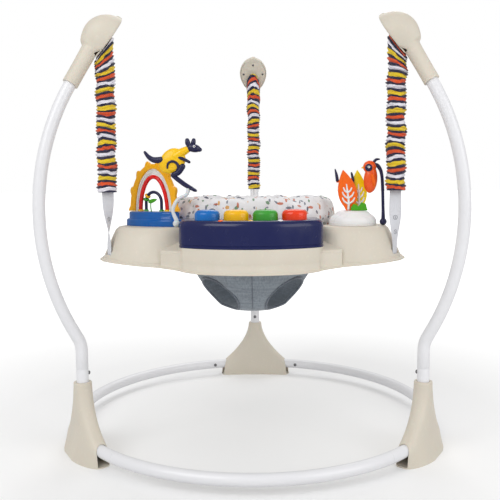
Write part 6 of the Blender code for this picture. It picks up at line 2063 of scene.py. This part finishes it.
@dataclass
class SeatRoll(Assembly):
    """The padded roll round the seat: printed cotton over soft filling, drawn in by seams."""

    radius: float = 0.1575
    half_width: float = 0.0315
    low: float = 0.4615
    high: float = 0.5345
    seams: int = 10
    steps: int = 160
    corners: int = 28
    cloth_frames: int = 20
    most: float = 0.0060

    def build(self) -> None:
        """Loft the roll, let it swell as cloth, and add its piping."""
        item = piece("seat_roll_padded", self.core(), "", PRINT, ["seat_cushion"], seams=False)
        self.swell(item)
        item.data.shade_smooth()
        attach(item, "seat")
        binding = self.binding()
        piece("seat_roll_binding", binding, "seat", DENIM)

    def core(self) -> Shape:
        """The roll before it swells: an oval ring, flat below, pinched at each seam."""
        rings = []
        middle, half = (self.low + self.high) / 2, (self.high - self.low) / 2
        for turn in around(self.steps):
            pinch = math.exp(-((math.sin(turn * self.seams / 2) / 0.13) ** 2))
            ring = []
            for spin in around(self.corners):
                up = math.sin(spin)
                slack = 1.0 - 0.15 * pinch * (0.35 + 0.65 * max(up, 0.0))
                reach = self.radius + self.half_width * slack * math.cos(spin)
                height = middle + half * (max(up, -0.86) / 0.93 if up < 0 else up * slack)
                ring.append(self.middle + Vector((reach * math.cos(turn), reach * math.sin(turn),
                                                  max(height, self.low))))
            rings.append(ring)
        return lofted(rings, closed=True)

    def swell(self, item: bpy.types.Object) -> None:
        """Inflate the roll as cloth, hold it at its seams and its flat bottom, and cap how far it moves.

        Args:
            item: The roll.
        """
        before = [point.co.copy() for point in item.data.vertices]
        held = item.vertex_groups.new(name="held")
        for point in item.data.vertices:
            off = point.co - self.middle
            turn = math.atan2(off.y, off.x)
            seam = math.exp(-((math.sin(turn * self.seams / 2) / 0.10) ** 2))
            resting = 1.0 if point.co.z < self.low + 0.002 else 0.0
            held.add([point.index], max(resting, seam * 0.85), "REPLACE")
        cloth = item.modifiers.new("cloth", "CLOTH")
        settings = cloth.settings
        settings.quality = 6
        settings.mass = 0.15
        settings.tension_stiffness = settings.compression_stiffness = 22.0
        settings.shear_stiffness = 10.0
        settings.bending_stiffness = 0.8
        settings.use_pressure = True
        settings.uniform_pressure_force = 4.0
        settings.vertex_group_mass = "held"
        settings.shrink_min = -0.06
        settings.effector_weights.gravity = 0.0
        cloth.collision_settings.use_collision = False
        scene = bpy.context.scene
        cloth.point_cache.frame_start, cloth.point_cache.frame_end = 1, self.cloth_frames
        for number in range(1, self.cloth_frames + 1):
            scene.frame_set(number)
        finished(item)
        scene.frame_set(1)
        for point, start in zip(item.data.vertices, before):
            move = point.co - start
            if move.length > self.most:
                move = move * (self.most / move.length)
            place = start + move + self.crease(start)
            place.z = max(place.z, self.low)
            point.co = place
        item.vertex_groups.clear()
        finished(item, levels=1)

    def crease(self, place: Vector) -> Vector:
        """Small radiating wrinkles beside each seam, and a faint ripple on the rest."""
        off = place - self.middle
        turn = math.atan2(off.y, off.x)
        out = heading(turn)
        spin = math.atan2(place.z - (self.low + self.high) / 2, Vector((off.x, off.y)).length - self.radius)
        near = math.sin(turn * self.seams / 2)
        pull = math.exp(-((near / 0.42) ** 2))
        fold = math.sin(spin * 9 + 2.5 * math.sin(turn * 7)) * pull * 0.0011
        ripple = 0.0006 * math.sin(spin * 4 + turn * 23) + 0.0005 * math.sin(turn * 41 - spin * 3)
        way = out * math.cos(spin) + Vector((0, 0, math.sin(spin)))
        return way * (fold + ripple) if math.sin(spin) > -0.6 else Vector((0, 0, 0))

    def binding(self) -> Shape:
        """Grey piping round the roll's inner foot, where the pouch is sewn on."""
        reach = self.radius - self.half_width - 0.0002
        centre = [self.middle + Vector((reach * math.cos(turn), reach * math.sin(turn), self.low + 0.0060))
                  for turn in around(120)]
        rings = []
        for index, point in enumerate(centre):
            out = point - self.middle
            out.z = 0
            out.normalize()
            size = 0.0024 * (1 + 0.05 * math.sin(index * 2.1))
            rings.append([point + out * size * math.cos(turn) + Vector((0, 0, size * math.sin(turn)))
                          for turn in around(12)])
        return lofted(rings, closed=True)


@dataclass
class SeatPouch(Assembly):
    """The hanging fabric pouch with its two bound leg holes and its seams."""

    top: float = 0.4575
    low: float = 0.2715
    bottom_round: float = 0.014
    mouth: float = 0.1595
    wall: float = 0.0018
    sides: int = 144
    hole: float = 0.052

    def build(self) -> None:
        """Make the pouch's cloth, the leg bindings and the seam down the middle."""
        item = piece("seat_pouch_cloth", self.skin(), "", DENIM, ["seat_pouch"], seams=False)
        finished(item, wall=self.wall)
        item.data.shade_smooth()
        edges = []
        for side in (-1, 1):
            start, way = self.leg_axis(side)
            path = [start - way * 0.06, start + way * 0.22]
            cut(item, sweep(frames(path, [self.hole] * 2, way.cross(UP)), 96))
            edges.append(self.leg_edge(start, way))
        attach(item, "seat")
        for side, edge in zip((-1, 1), edges):
            way = self.leg_axis(side)[1]
            piece(f"pouch_binding_{'left' if side < 0 else 'right'}", self.rope(edge, 0.0028, way), "seat", DENIM_DARK,
                  seams=False)
        seams = [self.rope(self.seam(side), 0.0012, Vector((1, 0, 0)), False) for side in (-1, 1)]
        piece("pouch_seams", joined(*seams), "seat", DENIM_DARK, seams=False)

    def size(self, level: float) -> tuple[float, float]:
        """Half width and half depth of the pouch at a height."""
        drop = (self.top - level) / (self.top - self.low)
        return self.mouth * (1 - 0.62 * drop ** 2.1), self.mouth * (1 - 0.55 * drop ** 2.4)

    def spot(self, turn: float, level: float, sag: float = 1.0) -> Vector:
        """A point of the cloth, with soft folds that fade at the ring."""
        wide, deep = self.size(level)
        drop = (self.top - level) / (self.top - self.low)
        fold = 0.0016 * math.sin(turn * 9 + 1.3 * math.sin(turn * 2)) + 0.0010 * math.sin(turn * 16 + 4 * drop)
        reach = 1 + sag * fold * math.sin(math.pi * min(drop, 1.0)) / 0.12
        return self.middle + Vector((wide * reach * math.cos(turn), deep * reach * math.sin(turn), level))

    def skin(self) -> Shape:
        """The cloth's outside, open above, drawn together under the seat."""
        rings = []
        for share in shares(43):
            level = self.top + (self.low + self.bottom_round - self.top) * share ** 0.9
            rings.append([self.spot(turn, level) for turn in around(self.sides)])
        for share, rise in ((0.90, 0.0082), (0.75, 0.0046), (0.55, 0.0020), (0.32, 0.0006), (0.10, 0.0)):
            ring = []
            for turn in around(self.sides):
                edge = self.spot(turn, self.low + self.bottom_round, 0.0)
                ring.append(Vector((self.middle.x + (edge.x - self.middle.x) * share,
                                    self.middle.y + (edge.y - self.middle.y) * share, self.low + rise)))
            rings.append(ring)
        shape = lofted(rings, ends=False)
        rim = [edge for edge in shape.edges if edge.is_boundary and edge.verts[0].co.z < self.low + 0.001]
        bmesh.ops.edgeloop_fill(shape, edges=rim)
        bmesh.ops.recalc_face_normals(shape, faces=shape.faces)
        return shape

    def leg_axis(self, side: int) -> tuple[Vector, Vector]:
        """Where a leg hole's axis starts, and its direction."""
        start = self.middle + Vector((side * 0.038, -0.030, 0.338))
        return start, Vector((side * 0.62, -0.66, -0.42)).normalized()

    def inside(self, place: Vector) -> bool:
        """Whether a place lies within the pouch."""
        if place.z <= self.low:
            return False
        floor = self.low + self.bottom_round
        wide, deep = self.size(min(max(place.z, floor), self.top))
        share = min((place.z - self.low) / (floor - self.low), 1.0) ** 0.4
        off = place - self.middle
        return (off.x / wide) ** 2 + (off.y / deep) ** 2 < share * share

    def leg_edge(self, start: Vector, way: Vector) -> list[Vector]:
        """The closed line where a leg hole leaves the cloth, found by walking out along the hole's side."""
        across = way.cross(UP).normalized()
        up = across.cross(way)
        found = []
        for turn in around(72):
            base = start + (across * math.cos(turn) + up * math.sin(turn)) * self.hole
            low, high = -0.06, 0.20
            for _ in range(24):
                middle = (low + high) / 2
                if self.inside(base + way * middle):
                    low = middle
                else:
                    high = middle
            found.append(base + way * low)
        return found

    def seam(self, side: int) -> list[Vector]:
        """A seam from the ring down the pouch's front or back."""
        turn = math.pi / 2 * side
        return [self.spot(turn, self.top - 0.006 + (self.low + 0.018 - self.top) * step / 24) for step in range(25)]

    @staticmethod
    def rope(path: list[Vector], size: float, facing: Vector, closed: bool = True) -> Shape:
        """A thin round binding along a line.

        Args:
            path: The line.
            size: Its radius.
            facing: A direction that the line never runs along.
            closed: Whether the line's ends meet.

        Returns:
            The binding.
        """
        rings = []
        for index, point in enumerate(path):
            after = path[(index + 1) % len(path)] if closed else path[min(index + 1, len(path) - 1)]
            before = path[index - 1] if closed or index else path[0]
            along = (after - before).normalized()
            out = along.cross(facing).normalized()
            over = along.cross(out)
            rings.append([point + out * size * math.cos(turn) + over * size * math.sin(turn)
                          for turn in around(12)])
        return lofted(rings, closed=closed)


# Studio


@dataclass
class Studio:
    """The plain floor, the soft lights and the camera at the photograph's angle."""

    lens: float = 49.56
    stand: Vector = field(default_factory=lambda: Vector((0.0217, -1.6468, 0.5657)))
    pitch: float = -0.0974
    yaw: float = -0.0174
    roll: float = -0.0071
    floor_size: float = 80.0

    def build(self) -> None:
        """Make all of the studio."""
        self.floor()
        self.lamp("key", (-1.7, -2.5, 2.5), 2.2, 42.0)
        self.lamp("fill", (2.3, -2.0, 1.5), 2.0, 23.0)
        self.lamp("back", (0.3, 1.9, 2.6), 1.8, 20.0)
        self.sky()
        self.camera()

    def floor(self) -> None:
        """A wide floor, which adds a little of its own light for the camera only."""
        shape = bmesh.new()
        bmesh.ops.create_grid(shape, x_segments=1, y_segments=1, size=self.floor_size / 2)
        item = placed("floor", meshed("floor", shape))
        graph = Graph("backdrop")
        haze = graph.noise(1.2, 2.0)
        reach = graph.add("ShaderNodeVectorMath", operation="LENGTH")
        graph.feed(reach.inputs[0], graph.place())
        glow = graph.spread(reach.outputs["Value"], 0.16, 0.80, 0.6, 2.6)
        seen = graph.add("ShaderNodeLightPath").outputs["Is Camera Ray"]
        graph.set(Base_Color=graph.mix(haze, (0.80, 0.80, 0.80), (0.82, 0.82, 0.82)), Roughness=0.9,
                  Specular_IOR_Level=0.0, Emission_Color=(1.0, 1.0, 1.0),
                  Emission_Strength=graph.maths("MULTIPLY", seen, glow))
        item.data.materials.append(graph.material)

    def lamp(self, name: str, place: Sequence[float], size: float, power: float) -> None:
        """A soft square lamp that faces the seat.

        Args:
            name: The lamp's name.
            place: Where it hangs.
            size: The length of its sides.
            power: Its power in watts.
        """
        data = bpy.data.lights.new(name, "AREA")
        data.size = size
        data.energy = power
        item = placed(name, data)
        item.location = place
        item.rotation_euler = (Vector((0, 0, 0.45)) - Vector(place)).to_track_quat("-Z", "Y").to_euler()

    def sky(self) -> None:
        """An even sky, white where the camera sees it."""
        world = bpy.data.worlds.new("sky")
        world.use_nodes = True
        tree = world.node_tree
        light = tree.nodes["Background"]
        path = tree.nodes.new("ShaderNodeLightPath")
        level = tree.nodes.new("ShaderNodeMapRange")
        level.inputs["To Min"].default_value = 0.58
        level.inputs["To Max"].default_value = 1.0
        tree.links.new(path.outputs["Is Camera Ray"], level.inputs["Value"])
        tree.links.new(level.outputs["Result"], light.inputs["Strength"])
        light.inputs["Color"].default_value = (1.0, 1.0, 1.0, 1.0)
        bpy.context.scene.world = world
        bpy.context.scene.view_settings.view_transform = "Standard"

    def camera(self) -> None:
        """The camera, turned as it was fitted to the floor ring and the legs."""
        ahead = Vector((math.sin(self.yaw) * math.cos(self.pitch), math.cos(self.yaw) * math.cos(self.pitch),
                        math.sin(self.pitch)))
        right = Vector((math.cos(self.yaw), -math.sin(self.yaw), 0.0))
        up = right.cross(ahead)
        level = right * math.cos(self.roll) + up * math.sin(self.roll)
        upright = up * math.cos(self.roll) - right * math.sin(self.roll)
        data = bpy.data.cameras.new("camera")
        data.lens = self.lens
        item = placed("camera", data)
        item.matrix_world = axes(level, upright, -ahead, self.stand)
        bpy.context.scene.camera = item


def assemblies() -> list[Assembly]:
    """Every sub-assembly, from the floor up."""
    found: list[Assembly] = [TubeFrame()]
    for number, foot in enumerate(Foot):
        found += [FootCover(foot=foot), LegCap(foot=foot), StrapSet(foot=foot, seed=1.0 + number)]
    return [*found, Tray(), Console(), SoundModule(), SunToy(), Hopper(), LeafToy(), Bird(),
            SeatRing(), SeatRoll(), SeatPouch()]


def main() -> None:
    """Give the nodes their finishes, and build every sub-assembly and the studio."""
    logging.basicConfig(level=logging.INFO, format="%(relativeCreated)d ms %(name)s: %(message)s")
    by_slot = {finish.slot: finish for finish in (
        BEIGE, WHITE_TUBE, NAVY, BLUE, YELLOW, GREEN, RED, SUN, ORANGE, LEAF_YELLOW, LEAF_GREEN, BIRD_ORANGE,
        WHITE_TOY, TEAL, BLACK, GREY, BUTTON, SPRING, FROSTED, STRIPES, PRINT, DENIM, WEBBING)}
    for part in frame["record"]["subparts"]:
        dress(part["node"], by_slot[part["material_slot"]])
    for assembly in assemblies():
        LOG.info("%s:", type(assembly).__name__)
        assembly.build()
    Studio().build()


if __name__ == "__main__":
    main()
